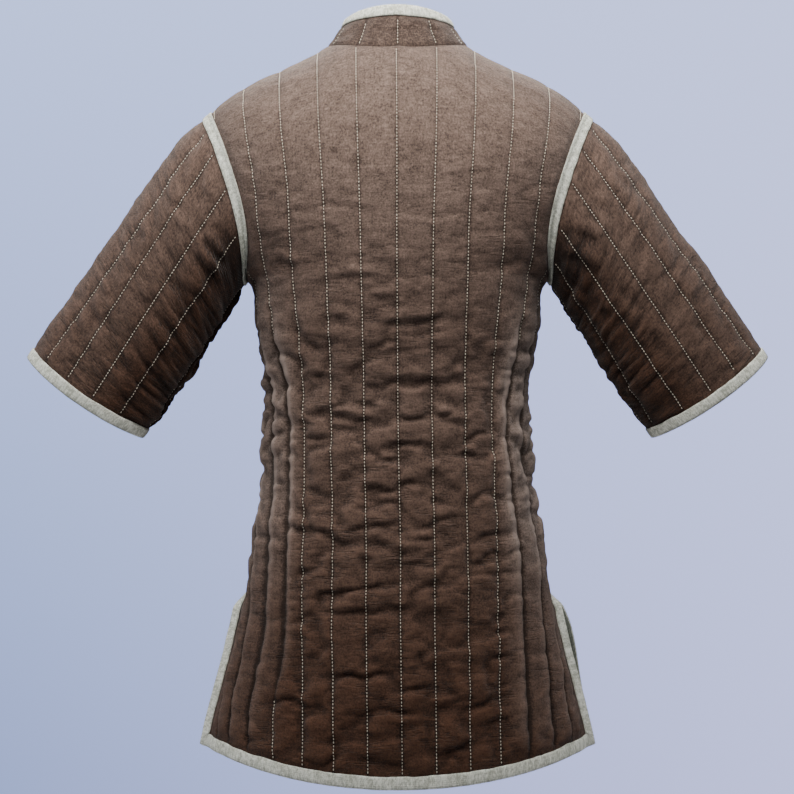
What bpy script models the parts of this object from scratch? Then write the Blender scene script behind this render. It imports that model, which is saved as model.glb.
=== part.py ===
"""Quilted arming coat with elbow-length sleeves, stand collar and side slits.

Metres. +X is the wearer's right, +Y the wearer's front, +Z up. Z = 0 is the
height of the collar seam at the sides of the neck, X = Y = 0 the middle of it.
Each piece of cloth is one padded wall: plain inside, raised channels outside.
"""
import math

import bmesh
import bpy
import numpy as np

# ---- driving sizes -----------------------------------------------------------
GAP = 0.0003             # clearance between pieces sewn together
LAY = 0.0006             # clearance under a tape that lies over cloth
WALL = 0.0036            # cloth and wadding at a stitch line
PUFF = 0.0030            # wadding standing above the stitch lines
SIDE_PUFF = 0.0065       # more of it where the sides gather into ridges
SUB = 3                  # mesh columns in one quilted channel
BIND_W = 0.013           # finished width of the hem, slit and front bindings
BIND_T = 0.0012          # thickness of the folded tape
CUFF_W = 0.012           # finished width of the cuff binding
BAND_W = 0.0070          # armhole tape on each side of its seam
BAND_TIP = 0.0026        # the same tape where it narrows under the arm
SEAM_W = 0.0060          # flat cloth beside an unbound seam
SQUARE = 2.4             # exponent of the torso sections, 2 is an ellipse
SLIT_TOP = -0.672        # height where the side slits begin
SLIT_KICK = 0.0150       # how far their bound edges stand out sideways
TAPE_TOP = -0.681        # height where the slit bindings begin
ROLL_Z = -0.170          # height where back and chest start to roll to the shoulder
ROLL_V = 0.200           # cloth coordinate taken up by that roll
ARM_TOP = -0.0855        # armhole seam, highest point
ARM_LOW = -0.2890        # armhole seam, lowest point
ARM_DEPTH = 0.082        # armhole seam, half its width front to back
ARM_STEPS = (180, 161, 140, 118, 96, 74, 52, 30, 12, 0)
NECK_Q = 1.83            # channels from the middle of the neck to its side
NECK_SIDE_Q = 1.77       # extra column close to that corner
SLEEVE_CHANNELS = 12     # channels around a sleeve
CUFF_BOW = 0.0065        # how much longer a sleeve is down its back and front
SLEEVE_PUFF = 0.0030     # wadding of a sleeve above its stitch lines
COLLAR_CHANNEL = 0.0500  # width of a channel of the collar
BUTTONS = 6
BUTTON_R = 0.0085        # radius of a cloth button
BUTTON_H = 0.0050        # height of its dome

# Sections of the torso, from the hem up; the pitch is the width of one channel.
TORSO_COLUMNS = ("z", "half_width", "back_depth", "front_depth", "pitch")
TORSO = (
    (-0.905, 0.2370, 0.178, 0.168, 0.0400),
    (-0.860, 0.2272, 0.174, 0.164, 0.0401),
    (-0.820, 0.2180, 0.168, 0.159, 0.0402),
    (-0.784, 0.2085, 0.162, 0.154, 0.0403),
    (-0.740, 0.1975, 0.155, 0.149, 0.0404),
    (-0.700, 0.1890, 0.148, 0.144, 0.0405),
    (-0.670, 0.1855, 0.143, 0.140, 0.0405),
    (-0.610, 0.1775, 0.134, 0.134, 0.0405),
    (-0.544, 0.1672, 0.123, 0.127, 0.0405),
    (-0.480, 0.1628, 0.116, 0.120, 0.0405),
    (-0.445, 0.1608, 0.114, 0.117, 0.0406),
    (-0.386, 0.1672, 0.118, 0.119, 0.0410),
    (-0.346, 0.1745, 0.124, 0.124, 0.0415),
    (-0.289, 0.1775, 0.131, 0.129, 0.0422),
    (-0.200, 0.1900, 0.134, 0.130, 0.0431),
    (-0.110, 0.2000, 0.131, 0.128, 0.0462),
    (0.040, 0.2000, 0.129, 0.127, 0.0480),
)
SHOULDER_COLUMNS = ("x", "z")
SHOULDER = (
    (0.000, 0.0250), (0.045, 0.0155), (0.085, 0.0000), (0.110, -0.0150),
    (0.145, -0.0310), (0.175, -0.0442), (0.205, -0.0623), (0.236, -0.0855),
)
ARMHOLE_COLUMNS = ("z", "x")
ARMHOLE = (
    (-0.289, 0.1870), (-0.265, 0.1850), (-0.235, 0.1865), (-0.200, 0.1930),
    (-0.160, 0.2050), (-0.120, 0.2200), (-0.0855, 0.2360),
)
NECK_DEPTH = {"back": 0.074, "front": 0.098}
HEM_SIDE = {"back": -0.8638, "front": -0.8625}
HEM_DROP = {"back": 0.0260, "front": 0.0225}

# Sleeve sections, armhole to cuff: outline on top, outline below, half thickness.
SLEEVE_COLUMNS = ("t", "top_x", "top_z", "low_x", "low_z", "half_y")
SLEEVE = (
    (0.00, 0.2360, -0.0855, 0.1870, -0.2890, 0.0820),
    (0.10, 0.2712, -0.1170, 0.2038, -0.3128, 0.0810),
    (0.20, 0.2942, -0.1471, 0.2168, -0.3348, 0.0790),
    (0.34, 0.3222, -0.1851, 0.2338, -0.3618, 0.0760),
    (0.46, 0.3467, -0.2231, 0.2478, -0.3858, 0.0735),
    (0.59, 0.3752, -0.2611, 0.2638, -0.4108, 0.0700),
    (0.76, 0.4092, -0.3121, 0.2868, -0.4418, 0.0650),
    (1.00, 0.4605, -0.3856, 0.3185, -0.4854, 0.0580),
)
# Collar: top edge, half width at the sides, depth and height in back and front.
COLLAR_TOP_X = 0.0664
COLLAR_TOP_Y = {"back": 0.060, "front": 0.072}
COLLAR_TOP_Z = {"side": 0.0315, "back": 0.0415, "front": 0.0050}


def curve(columns, table, name):
    """A smooth function through one named column of a table."""
    keys = np.array([row[0] for row in table])
    values = np.array([row[columns.index(name)] for row in table])
    slopes = np.gradient(values, keys)

    def at(key):
        key = np.clip(np.asarray(key, float), keys[0], keys[-1])
        i = np.clip(np.searchsorted(keys, key) - 1, 0, len(keys) - 2)
        step = keys[i + 1] - keys[i]
        u = (key - keys[i]) / step
        rise = (3.0 - 2.0 * u) * u * u
        ends = values[i] * (1.0 - rise) + values[i + 1] * rise
        tilt = u * (1.0 - u) * ((1.0 - u) * slopes[i] - u * slopes[i + 1])
        return ends + step * tilt

    return at


half_width = curve(TORSO_COLUMNS, TORSO, "half_width")
pitch_at = curve(TORSO_COLUMNS, TORSO, "pitch")
depth_at = {
    "back": curve(TORSO_COLUMNS, TORSO, "back_depth"),
    "front": curve(TORSO_COLUMNS, TORSO, "front_depth"),
}
shoulder_z = curve(SHOULDER_COLUMNS, SHOULDER, "z")
armhole_x = curve(ARMHOLE_COLUMNS, ARMHOLE, "x")
ARM_MID = 0.5 * (ARM_TOP + ARM_LOW)
ARM_HALF = 0.5 * (ARM_TOP - ARM_LOW)


def ramp(value):
    """0 below 0, 1 above 1, smooth between."""
    u = np.clip(value, 0.0, 1.0)
    return u * u * (3.0 - 2.0 * u)


def unit(vectors):
    size = np.linalg.norm(vectors, axis=-1, keepdims=True)
    return vectors / np.maximum(size, 1e-12)


def edge_curl(z):
    """How far the side edge turns outwards under the arm."""
    arm = np.where(z > ARM_LOW, (z - ARM_LOW) / 0.022, (z - ARM_LOW) / 0.012)
    return 0.0095 * np.exp(-arm * arm)


def slit_kick(z):
    """How far the bound edge of a slit stands out sideways."""
    return SLIT_KICK * ramp((SLIT_TOP - 0.003 - z) / 0.026)


def slit_spread(z):
    """Half the opening between the back and the front edge of a slit."""
    return 0.032 * (1.0 - np.exp(np.minimum(z - SLIT_TOP, 0.0) / 0.090))


def flare(face, side, z):
    """Extra half width of the front skirt, which swings out more on one side."""
    if face == "back":
        return np.zeros_like(z)
    swing = np.exp(-((z + 0.735) / 0.068) ** 2) * ramp((SLIT_TOP - z) / 0.050)
    return np.where(side > 0, 0.0085, -0.0030) * swing


def armhole_depth(z):
    rise = np.clip((z - ARM_MID) / ARM_HALF, -1.0, 1.0)
    return ARM_DEPTH * np.sqrt(1.0 - rise * rise)


def armhole_width(face):
    """Half width of the full section whose cut edge is the armhole seam."""
    z = ARM_MID - ARM_HALF * np.cos(np.linspace(0.0, 0.97 * math.pi, 60))
    x = armhole_x(z)
    turn = (z - ROLL_Z) / (shoulder_z(x) - ROLL_Z)
    roll = np.sqrt(1.0 - np.clip(turn, 0.0, 0.999) ** 2)
    cut = armhole_depth(z) / roll / depth_at[face](z)
    width = (x - edge_curl(z)) / (1.0 - cut ** SQUARE) ** (1.0 / SQUARE)
    return z, width


ARM_WIDTH = {face: armhole_width(face) for face in ("back", "front")}
TURN = np.linspace(0.0, 0.5 * math.pi, 49)
SIN_TURN = np.sin(TURN) ** (2.0 / SQUARE)
COS_TURN = np.cos(TURN) ** (2.0 / SQUARE)


def section(face, side, z):
    """Points of the half section at each z, from the middle to the side."""
    width = half_width(z) + flare(face, side, z)
    width = np.where(z > ARM_LOW, np.interp(z, *ARM_WIDTH[face]), width)
    x = width[:, None] * SIN_TURN
    y = depth_at[face](z)[:, None] * COS_TURN
    steps = np.hypot(np.diff(x, axis=1), np.diff(y, axis=1))
    arc = np.concatenate([np.zeros((len(z), 1)), np.cumsum(steps, axis=1)], axis=1)
    return x, y, arc


def pick(arc, want, *rows):
    """Values of the rows where the arc reaches the wanted length."""
    i = np.clip((arc < want[:, None]).sum(axis=1) - 1, 0, arc.shape[1] - 2)
    n = np.arange(len(want))
    u = (want - arc[n, i]) / np.maximum(arc[n, i + 1] - arc[n, i], 1e-9)
    u = np.clip(u, 0.0, 1.0)
    return [row[n, i] * (1.0 - u) + row[n, i + 1] * u for row in rows]


def reach(face, side, z):
    """Cloth length from the middle of the panel to its side edge."""
    x, _, arc = section(face, side, z)
    limit = np.where(z > ARM_LOW, armhole_x(z) - edge_curl(z), x[:, -1])
    return pick(x, limit, arc)[0]


def torso(face, s, v):
    """The stitched surface: s across the cloth from the middle, v up the cloth."""
    s = np.atleast_1d(np.asarray(s, float))
    v = np.atleast_1d(np.asarray(v, float))
    side = np.where(s < 0.0, -1.0, 1.0)
    a = np.abs(s)
    turn = 0.5 * math.pi * np.clip((v - ROLL_Z) / ROLL_V, 0.0, 1.0)
    x = a.copy()
    for _ in range(4):
        rise = shoulder_z(x) - ROLL_Z
        z = np.where(v > ROLL_Z, ROLL_Z + rise * np.sin(turn), v)
        xs, ys, arc = section(face, side, z)
        x, y = pick(arc, a, xs, ys)
    away = np.maximum(reach(face, side, z) - a, 0.0)
    x = x + edge_curl(z) * np.exp(-((away / 0.032) ** 2)) + slit_kick(z) * np.exp(-away / 0.015)
    y = y * np.cos(turn) + 0.5 * GAP + slit_spread(z) * np.exp(-((away / 0.075) ** 2))
    return np.stack([side * x, -y if face == "back" else y, z], axis=1)


def torso_normal(face, s, v):
    step = 0.0015
    v1 = np.minimum(v + step, ROLL_Z + ROLL_V)
    limit = reach(face, np.sign(s), torso(face, s, v)[:, 2])
    s1 = np.minimum(s + step, limit)
    s0 = np.maximum(s - step, -limit)
    across = torso(face, s1, v) - torso(face, s0, v)
    along = torso(face, s, v1) - torso(face, s, v1 - 2.0 * step)
    out = unit(np.cross(across, along))
    return out if face == "back" else -out


# ---- rows of the panels ------------------------------------------------------
def side_rows():
    """Cloth height and true height of each row where it meets the side edge."""
    plain = [-0.825, -0.780, -0.735, -0.700, TAPE_TOP, SLIT_TOP, -0.620, -0.565]
    plain += [-0.510, -0.455, -0.400, -0.350, -0.304]
    arm = [ARM_MID + ARM_HALF * math.cos(math.radians(d)) for d in ARM_STEPS]
    z = np.array(plain + arm)
    climb = (z - ROLL_Z) / (shoulder_z(armhole_x(z)) - ROLL_Z)
    angle = np.arcsin(np.clip(climb, 0.0, 1.0)) / (0.5 * math.pi)
    v = np.where(z > ROLL_Z, ROLL_Z + ROLL_V * angle, z)
    return v, z


ROW_V, ROW_Z = side_rows()
ROW_COUNT = len(ROW_V) + 2


def hem_v(face, f):
    swing = (1.0 - np.clip(np.abs(f) / 0.80, 0.0, 1.0) ** 2) ** 1.8
    return HEM_SIDE[face] - HEM_DROP[face] * swing


def neck_table(face):
    """Cloth height of the neck seam over the channel count q."""
    angle = np.linspace(0.0, 0.5 * math.pi, 31)
    q = NECK_Q * np.sin(angle)
    back = NECK_DEPTH[face] * np.cos(angle)
    v = np.full_like(q, ROLL_Z + 0.6 * ROLL_V)
    for _ in range(6):
        xs, ys, arc = section(face, np.ones_like(q), torso(face, q * pitch_at(v), v)[:, 2])
        full = pick(arc, q * pitch_at(v), ys)[0]
        v = ROLL_Z + ROLL_V * np.arccos(np.clip(back / full, 0.0, 1.0)) / (0.5 * math.pi)
    return q, v


NECK_V = {face: neck_table(face) for face in ("back", "front")}


def top_v(face, q):
    q = np.abs(q)
    return np.where(q < NECK_Q, np.interp(q, *NECK_V[face]), ROLL_Z + ROLL_V)


def row_place(face, side, row, q=None, a=None):
    """Cloth length, cloth height and channel count along one row."""
    z_side = HEM_SIDE[face] + (BIND_W if row else 0.0) if row < 2 else ROW_Z[row - 2]
    edge = float(reach(face, np.array([side]), np.array([z_side]))[0])
    given = q is not None
    v = np.full(len(q if given else a), -0.3)
    for _ in range(5):
        if given:
            a = q * pitch_at(v)
        else:
            q = a / pitch_at(v)
        f = np.minimum(a / edge, 1.0)
        low = hem_v(face, f)
        if row == 0:
            v = low
            continue
        low = low + BIND_W
        share = 0.0
        if row > 1:
            corner = HEM_SIDE[face] + BIND_W
            share = (ROW_V[row - 2] - corner) / (ROLL_Z + ROLL_V - corner)
        v = low + share * (top_v(face, q) - low)
    return a, v, q, edge, z_side


def half_row(face, side, row, keep=None):
    """Places along half a row, middle to side, with the width kept flat at its edge."""
    k = np.arange(0, 12 * SUB + 1) / SUB
    if row >= ROW_COUNT - 2:
        k = k[np.abs(k - NECK_SIDE_Q) > 0.05]
        k = np.sort(np.append(k, [NECK_Q, NECK_SIDE_Q]))
    a, v, q, edge, z_side = row_place(face, side, row, q=k)
    flat = SEAM_W
    if z_side < SLIT_TOP - 0.001:
        flat = BIND_W
    if z_side > ARM_LOW - 0.001:
        flat = BAND_W
    start = 0.5 * BIND_T + BIND_T + GAP if face == "front" else 0.0
    if keep is None:
        keep = a < edge - flat - 0.006
        if face == "front":
            keep &= a > start + BIND_W + 0.004
    a = a[keep]
    extra = [start, start + BIND_W] if face == "front" else []
    a = np.concatenate([extra, a, [edge - flat, edge]])
    q_known = np.concatenate([np.full(len(extra), np.nan), k[keep], [np.nan, np.nan]])
    a, v, q, _, _ = row_place(face, side, row, a=a)
    q = np.where(np.isnan(q_known), q, q_known)
    return a, v, q, keep, z_side, flat


def channel(q):
    """Height of the padding between two stitch lines, 0 to 1."""
    p = q - np.floor(q)
    return np.clip(4.0 * p * (1.0 - p), 0.0, 1.0) ** 0.65


def torso_puff(face, a, v, q, edge, flat):
    side_ease = ramp((edge - a - flat) / 0.012)
    hem_ease = ramp((v - hem_v(face, np.minimum(a / edge, 1.0)) - BIND_W) / 0.014)
    top_ease = ramp((top_v(face, q) - v) / 0.011)
    front_ease = 1.0
    if face == "front":
        front_ease = ramp((a - BIND_W - 0.002) / 0.012)
    fold = ramp((q - 3.2) / 1.0) * ramp((-0.29 - v) / 0.09) * ramp((v + 0.87) / 0.09)
    tall = PUFF + SIDE_PUFF * fold
    return tall * channel(q) * side_ease * hem_ease * top_ease * front_ease


# ---- sleeve and collar surfaces ----------------------------------------------
sleeve_at = {n: curve(SLEEVE_COLUMNS, SLEEVE, n) for n in SLEEVE_COLUMNS[1:]}


def armhole(k):
    """Armhole seam; k is 0 under the arm, a quarter turn at the back, half on top."""
    z = ARM_MID - ARM_HALF * np.cos(k)
    y = -ARM_DEPTH * np.sin(k)
    y = y - 0.5 * GAP * np.sign(np.where(np.abs(np.sin(k)) < 1e-6, 0.0, np.sin(k)))
    return np.stack([armhole_x(z), y, z], axis=-1)


def sleeve_raw(k, t):
    get = {n: f(t) for n, f in sleeve_at.items()}
    top = np.stack([get["top_x"], np.zeros_like(t), get["top_z"]], axis=-1)
    low = np.stack([get["low_x"], np.zeros_like(t), get["low_z"]], axis=-1)
    tube = 0.5 * (top + low) - 0.5 * (top - low) * np.cos(k)[..., None]
    tube[..., 1] = -get["half_y"] * np.sin(k)
    bow = CUFF_BOW * ramp((t - 0.4) / 0.6) * np.sin(k) ** 2
    tube = tube + bow[..., None] * np.array([0.59, 0.0, -0.81])
    blend = ramp(t / 0.22)[..., None]
    start = armhole(k) + (tube - sleeve_ends(k))
    return start * (1.0 - blend) + tube * blend


def sleeve_ends(k):
    first = SLEEVE[0]
    x = 0.5 * (first[1] + first[3]) - 0.5 * (first[1] - first[3]) * np.cos(k)
    z = 0.5 * (first[2] + first[4]) - 0.5 * (first[2] - first[4]) * np.cos(k)
    return np.stack([x, -first[5] * np.sin(k), z], axis=-1)


def sleeve_length(k):
    """Length of the sleeve along its side k, from armhole to cuff."""
    return 0.290 + 0.068 * -np.cos(k)


def sleeve_turn(t, share):
    """Turn k where the share of the sleeve's girth is reached at t."""
    k = np.linspace(0.0, 2.0 * math.pi, 121)
    ring = sleeve_raw(k, np.full_like(k, t))
    steps = np.linalg.norm(np.diff(ring, axis=0), axis=1)
    arc = np.concatenate([[0.0], np.cumsum(steps)])
    return np.interp(np.asarray(share) * arc[-1], arc, k)


def sleeve_normal(k, t):
    t1 = np.clip(t + 0.012, 0.024, 1.0)
    around = sleeve_raw(k + 0.02, t) - sleeve_raw(k - 0.02, t)
    along = sleeve_raw(k, t1) - sleeve_raw(k, t1 - 0.024)
    return unit(np.cross(along, around))


def rim_vector(one, two, most=1.7):
    """Mitre between two cloth walls that meet at a seam, from their outer normals."""
    both = (one + two) / (1.0 + np.sum(one * two, axis=-1, keepdims=True))
    size = np.linalg.norm(both, axis=-1, keepdims=True)
    return both * np.minimum(1.0, most / size)


def mirrored(points, side):
    return points * np.array([side, 1.0, 1.0])


# ---- solids ------------------------------------------------------------------
def solid(name, verts, faces, colour, roughness):
    mesh = bpy.data.meshes.new(name)
    mesh.from_pydata([tuple(p) for p in verts], [], faces)
    bm = bmesh.new()
    bm.from_mesh(mesh)
    bmesh.ops.triangulate(bm, faces=bm.faces[:])
    bmesh.ops.recalc_face_normals(bm, faces=bm.faces[:])
    bm.to_mesh(mesh)
    bm.free()
    material = bpy.data.materials.new(name + "_material")
    material.use_nodes = True
    shader = material.node_tree.nodes["Principled BSDF"]
    shader.inputs["Base Color"].default_value = (*colour, 1.0)
    shader.inputs["Roughness"].default_value = roughness
    shader.inputs["Metallic"].default_value = 0.0
    mesh.materials.append(material)
    thing = bpy.data.objects.new(name, mesh)
    bpy.context.scene.collection.objects.link(thing)
    mesh.shade_smooth()
    mesh.set_sharp_from_angle(angle=math.radians(40.0))
    return thing


LINEN = ((0.105, 0.068, 0.050), 0.92)
TAPE = ((0.610, 0.610, 0.520), 0.88)


def zip_rows(low, high, low_key, high_key, closed=False):
    """Triangles between two rows of points, advancing where the next key is nearer."""
    faces = []
    i = j = 0
    n = len(low) - (0 if closed else 1)
    m = len(high) - (0 if closed else 1)
    low_key = np.append(low_key, low_key[0] + 1.0) if closed else low_key
    high_key = np.append(high_key, high_key[0] + 1.0) if closed else high_key
    while i < n or j < m:
        step_low = j == m
        if i < n and j < m:
            lead = high_key[j + 1] - low_key[i + 1]
            step_low = lead > 0.0 or (lead == 0.0 and low_key[i] >= 0.0)
        if step_low:
            faces.append((low[i], low[(i + 1) % len(low)], high[j % len(high)]))
            i += 1
        else:
            faces.append((low[i % len(low)], high[(j + 1) % len(high)], high[j]))
            j += 1
    return faces


def wall(name, outer, inner, keys_out, keys_in, closed=False):
    """A padded wall from rows of outer and inner points; first and last rows match."""
    verts = []
    faces = []
    index = {}
    for label, rows in (("out", outer), ("in", inner)):
        for r, row in enumerate(rows):
            index[label, r] = list(range(len(verts), len(verts) + len(row)))
            verts.extend(row)
    last = len(outer) - 1
    for r in range(last):
        for label, keys in (("out", keys_out), ("in", keys_in)):
            new = zip_rows(index[label, r], index[label, r + 1], keys[r], keys[r + 1], closed)
            faces += new if label == "out" else [f[::-1] for f in new]
    for r in (0, last):
        a = index["out", r]
        b = index["in", r]
        for i in range(len(a) if closed else len(a) - 1):
            n = (i + 1) % len(a)
            faces.append((a[i], b[i], b[n], a[n]))
    if not closed:
        for r in range(last):
            for end in (0, -1):
                a, b = index["out", r][end], index["out", r + 1][end]
                c, d = index["in", r + 1][end], index["in", r][end]
                faces.append((a, b, c, d))
    return solid(name, verts, faces, *LINEN)


def sweep(name, rings, closed, look=TAPE):
    """A tube through rings of points; open ends of a folded tape are capped in strips."""
    verts = [p for ring in rings for p in ring]
    m = len(rings[0])
    n = len(rings)
    faces = []
    for r in range(n if closed else n - 1):
        for i in range(m):
            a, b = r * m + i, r * m + (i + 1) % m
            c, d = ((r + 1) % n) * m + (i + 1) % m, ((r + 1) % n) * m + i
            faces.append((a, b, c, d))
    if not closed:
        for base in (0, (n - 1) * m):
            for i in range(m // 2 - 1):
                faces.append((base + i, base + i + 1, base + m - 2 - i, base + m - 1 - i))
    return solid(name, verts, faces, *look)


def folded_ring(edge_out, flat_out, edge_in, flat_in, inset=0.0004):
    """Section of a tape folded over an edge: inner side first, then the outer side."""
    thick = unit(edge_out - edge_in)
    ahead_out = unit(edge_out - flat_out)
    ahead_in = unit(edge_in - flat_in)
    lift = LAY + BIND_T
    tip = unit(flat_out - flat_in)
    start_out = flat_out + inset * ahead_out
    start_in = flat_in + inset * ahead_in
    span = np.linalg.norm(edge_out - flat_out)
    corner = max(1.0, span / BIND_W)
    return [
        start_out + tip * LAY,
        edge_out + thick * LAY + ahead_out * LAY * corner,
        edge_in - thick * LAY + ahead_in * LAY * corner,
        start_in - tip * LAY,
        start_in - tip * lift,
        edge_in - thick * (LAY + 0.8 * BIND_T) + ahead_in * lift * corner,
        edge_out + thick * (LAY + 0.8 * BIND_T) + ahead_out * lift * corner,
        start_out + tip * lift,
    ]


# ---- torso panels ------------------------------------------------------------
def wall_vector(face, side, n, a, v, q, row, place):
    """Direction from inner to outer point, longer where two walls meet at an angle."""
    s = np.array([side * a])
    top = row == ROW_COUNT - 1
    if place == "edge" and ROW_Z[max(row - 2, 0)] > SLIT_TOP - 0.001 and row > 1:
        if ROW_Z[row - 2] < ARM_LOW - 0.001:
            n = unit(n * np.array([1.0, 0.0, 1.0]))
        else:
            if top or ROW_Z[row - 2] < ARM_LOW + 0.001:
                n = unit(n * np.array([1.0, 0.0, 1.0]))
            turn = math.radians(180.0 - ARM_STEPS[row - 2 - (len(ROW_Z) - len(ARM_STEPS))])
            k = np.array([turn if face == "back" else -turn])
            arm = mirrored(sleeve_normal(k, np.zeros(1)), side)[0]
            n = rim_vector(n, arm)
    elif place == "front":
        n = unit(n * np.array([0.0, 1.0, 1.0]))
    if top and place != "edge":
        if q > NECK_Q - 0.001:
            n = unit(n * np.array([1.0, 0.0, 1.0]))
        if q < NECK_Q + 0.001:
            p = torso(face, s, np.array([v]))[0]
            away = unit(np.array([p[0], p[1] * 1.1, 0.0]) + np.array([0.0, 0.0, 0.008]))
            n = rim_vector(n, away)
            if place == "front":
                n = unit(n * np.array([0.0, 1.0, 1.0])) * np.linalg.norm(n)
    return n


def half_panel(face, side):
    """Rows of outer and inner points on one side of the middle."""
    rows = []
    keep = None
    for row in range(1, ROW_COUNT):
        data = half_row(face, side, row)
        if row == 1:
            rows.append((0, half_row(face, side, 0, data[3])))
        rows.append((row, data))
    made = []
    for row, (a, v, q, keep, z_side, flat) in rows:
        edge = a[-1]
        base = torso(face, side * a, v)
        normals = torso_normal(face, side * a, v)
        up = torso_puff(face, a, v, q, edge, flat)
        out = base + normals * up[:, None]
        inn = []
        for i in range(len(a)):
            place = "edge" if i == len(a) - 1 else "open"
            if face == "front" and i == 0:
                place = "front"
            n = wall_vector(face, side, normals[i], a[i], v[i], q[i], row, place)
            inn.append(base[i] - n * WALL)
        made.append({"a": a, "v": v, "q": q, "out": np.array(out), "in": np.array(inn)})
    return made


def inner_choice(q, row, face):
    """Columns kept on the plain inside of a row."""
    if row in (0, 1, ROW_COUNT - 1):
        return np.ones(len(q), bool)
    keep = np.abs(q - np.round(q)) < 1e-6
    keep[-2:] = True
    if face == "front":
        keep[:2] = True
    keep[-3] = False
    return keep


def joined_rows(right, left, face):
    """Whole rows of a panel from its two halves, left to right."""
    outer, inner, key_out, key_in = [], [], [], []
    for row in range(ROW_COUNT):
        halves = []
        for half, sign in ((left, -1.0), (right, 1.0)):
            if half is None:
                continue
            data = half[row]
            order = slice(None, None, int(sign))
            pick_in = inner_choice(data["q"], row, face)
            key = data["q"].copy()
            key[-2:] = (50.0, 51.0)
            if face == "front":
                key[:2] = (0.0, 0.3)
            halves.append((data["out"][order], data["in"][pick_in][order],
                           sign * key[order], sign * key[pick_in][order]))
        if len(halves) == 2:
            a, b = halves
            halves = [tuple(np.concatenate([x[:-1], y]) for x, y in zip(a, b))]
        for store, values in zip((outer, inner, key_out, key_in), halves[0]):
            store.append(values)
    return outer, inner, key_out, key_in


def tape_rings(half, front):
    """Folded tape from the slit top down, along the hem and up the front edge."""
    def between(one, two, share=0.12):
        return one + (two - one) * share

    first = 2 + int(np.argmin(np.abs(ROW_Z - TAPE_TOP)))
    low, flat, above = half[0], half[1], half[2]
    rings = []
    for row in range(first, 1, -1):
        data = half[row]
        rings.append([data[n][i] for n in ("out", "in") for i in (-1, -2)])
    rings.append([p for n in ("out", "in")
                  for p in (flat[n][-1], between(flat[n][-2], above[n][-2]))])
    rings.append([p for n in ("out", "in") for p in (low[n][-1], flat[n][-2])])
    rings.append([p for n in ("out", "in")
                  for p in (low[n][-2], between(flat[n][-2], flat[n][-3]))])
    stop = 1 if front else -1
    for i in range(len(low["a"]) - 3, stop, -1):
        rings.append([p[i] for n in ("out", "in") for p in (low[n], flat[n])])
    if front:
        rings.append([p for n in ("out", "in")
                      for p in (low[n][1], between(flat[n][1], flat[n][2]))])
        rings.append([p for n in ("out", "in") for p in (low[n][0], flat[n][1])])
        rings.append([p for n in ("out", "in")
                      for p in (flat[n][0], between(flat[n][1], above[n][1]))])
        for row in range(2, ROW_COUNT):
            data = half[row]
            rings.append([data[n][i] for n in ("out", "in") for i in (0, 1)])
    return rings


def fold(points):
    return np.array(folded_ring(*points))


# ---- sleeves -----------------------------------------------------------------
def armhole_loop(panels, side):
    """Rim of the armhole: outer, inner and flat points, in order of the turn k."""
    count = len(ARM_STEPS)
    loop = []
    for face, order in (("back", 1), ("front", -1)):
        rows = panels[face][ROW_COUNT - count:]
        part = []
        for data, degrees in zip(rows, ARM_STEPS):
            k = math.radians(180.0 - degrees)
            k = k if face == "back" else 2.0 * math.pi - k
            part.append((k, data["out"][-1], data["in"][-1], data["out"][-2]))
        loop.append(part[::order])
    back, front = loop
    middle = np.array([1.0, 0.0, 1.0])
    below = panels["back"][ROW_COUNT - count - 1]["out"][-1]
    drop = BAND_TIP * unit(below - back[0][1])
    first = (0.0, back[0][1] * middle, back[0][2] * middle, (back[0][1] + drop) * middle)
    top = tuple([math.pi] + [p * middle for p in back[-1][1:]])
    return [first] + back[1:-1] + [top] + front[1:-1]


def build_sleeve(name, panels, side, offset):
    loop = armhole_loop(panels, side)
    turns = np.array([p[0] for p in loop])
    rim_out = np.array([p[1] for p in loop])
    rim_in = np.array([p[2] for p in loop])
    tangent = np.roll(rim_out, -1, axis=0) - np.roll(rim_out, 1, axis=0)
    shift = unit(np.cross(rim_out - rim_in, tangent))
    shift *= np.sign(shift[:, :1] * side)
    seam_share = turns / (2.0 * math.pi)
    rows = [(rim_out + GAP * shift, rim_in + GAP * shift, seam_share, seam_share)]
    stations = [None, 0.07, 0.14, 0.23, 0.34, 0.46, 0.58, 0.70, 0.82, 0.90, "flat", 1.0]
    fine = (np.arange(SLEEVE_CHANNELS * SUB) / SUB + offset) / SLEEVE_CHANNELS
    coarse = (np.arange(SLEEVE_CHANNELS) + offset) / SLEEVE_CHANNELS
    for mark in stations:
        t = 0.96 if mark == "flat" else mark
        full = mark in (1.0, "flat")
        made = []
        for share in (fine, fine if full else coarse):
            if mark is None:
                share = seam_share
                k = turns
                along = BAND_W / sleeve_length(k)
            else:
                k = sleeve_turn(t, share)
                along = np.full_like(k, t)
            if mark == "flat":
                along = 1.0 - CUFF_W / sleeve_length(k)
            base = sleeve_raw(k, along)
            n = sleeve_normal(k, along)
            q = share * SLEEVE_CHANNELS - offset
            ends = ramp((along * sleeve_length(k) - BAND_W) / 0.014)
            ends *= ramp(((1.0 - along) * sleeve_length(k) - CUFF_W) / 0.014)
            puff = SLEEVE_PUFF * channel(q + 1e-9) * ends
            made.append((base + n * puff[:, None], base - n * WALL, share))
        out, inn = made
        rows.append((mirrored(out[0], side), mirrored(inn[1], side), out[2], inn[2]))
    outer, inner, key_out, key_in = [list(x) for x in zip(*rows)]
    wall(name, outer, inner, key_out, key_in, closed=True)
    return rows, loop


def build_cuff(name, rows):
    edge, flat = rows[-1], rows[-2]
    rings = []
    for i in range(len(edge[0])):
        rings.append(fold((edge[0][i], flat[0][i], edge[1][i], flat[1][i])))
    return sweep(name, rings, True)


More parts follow.
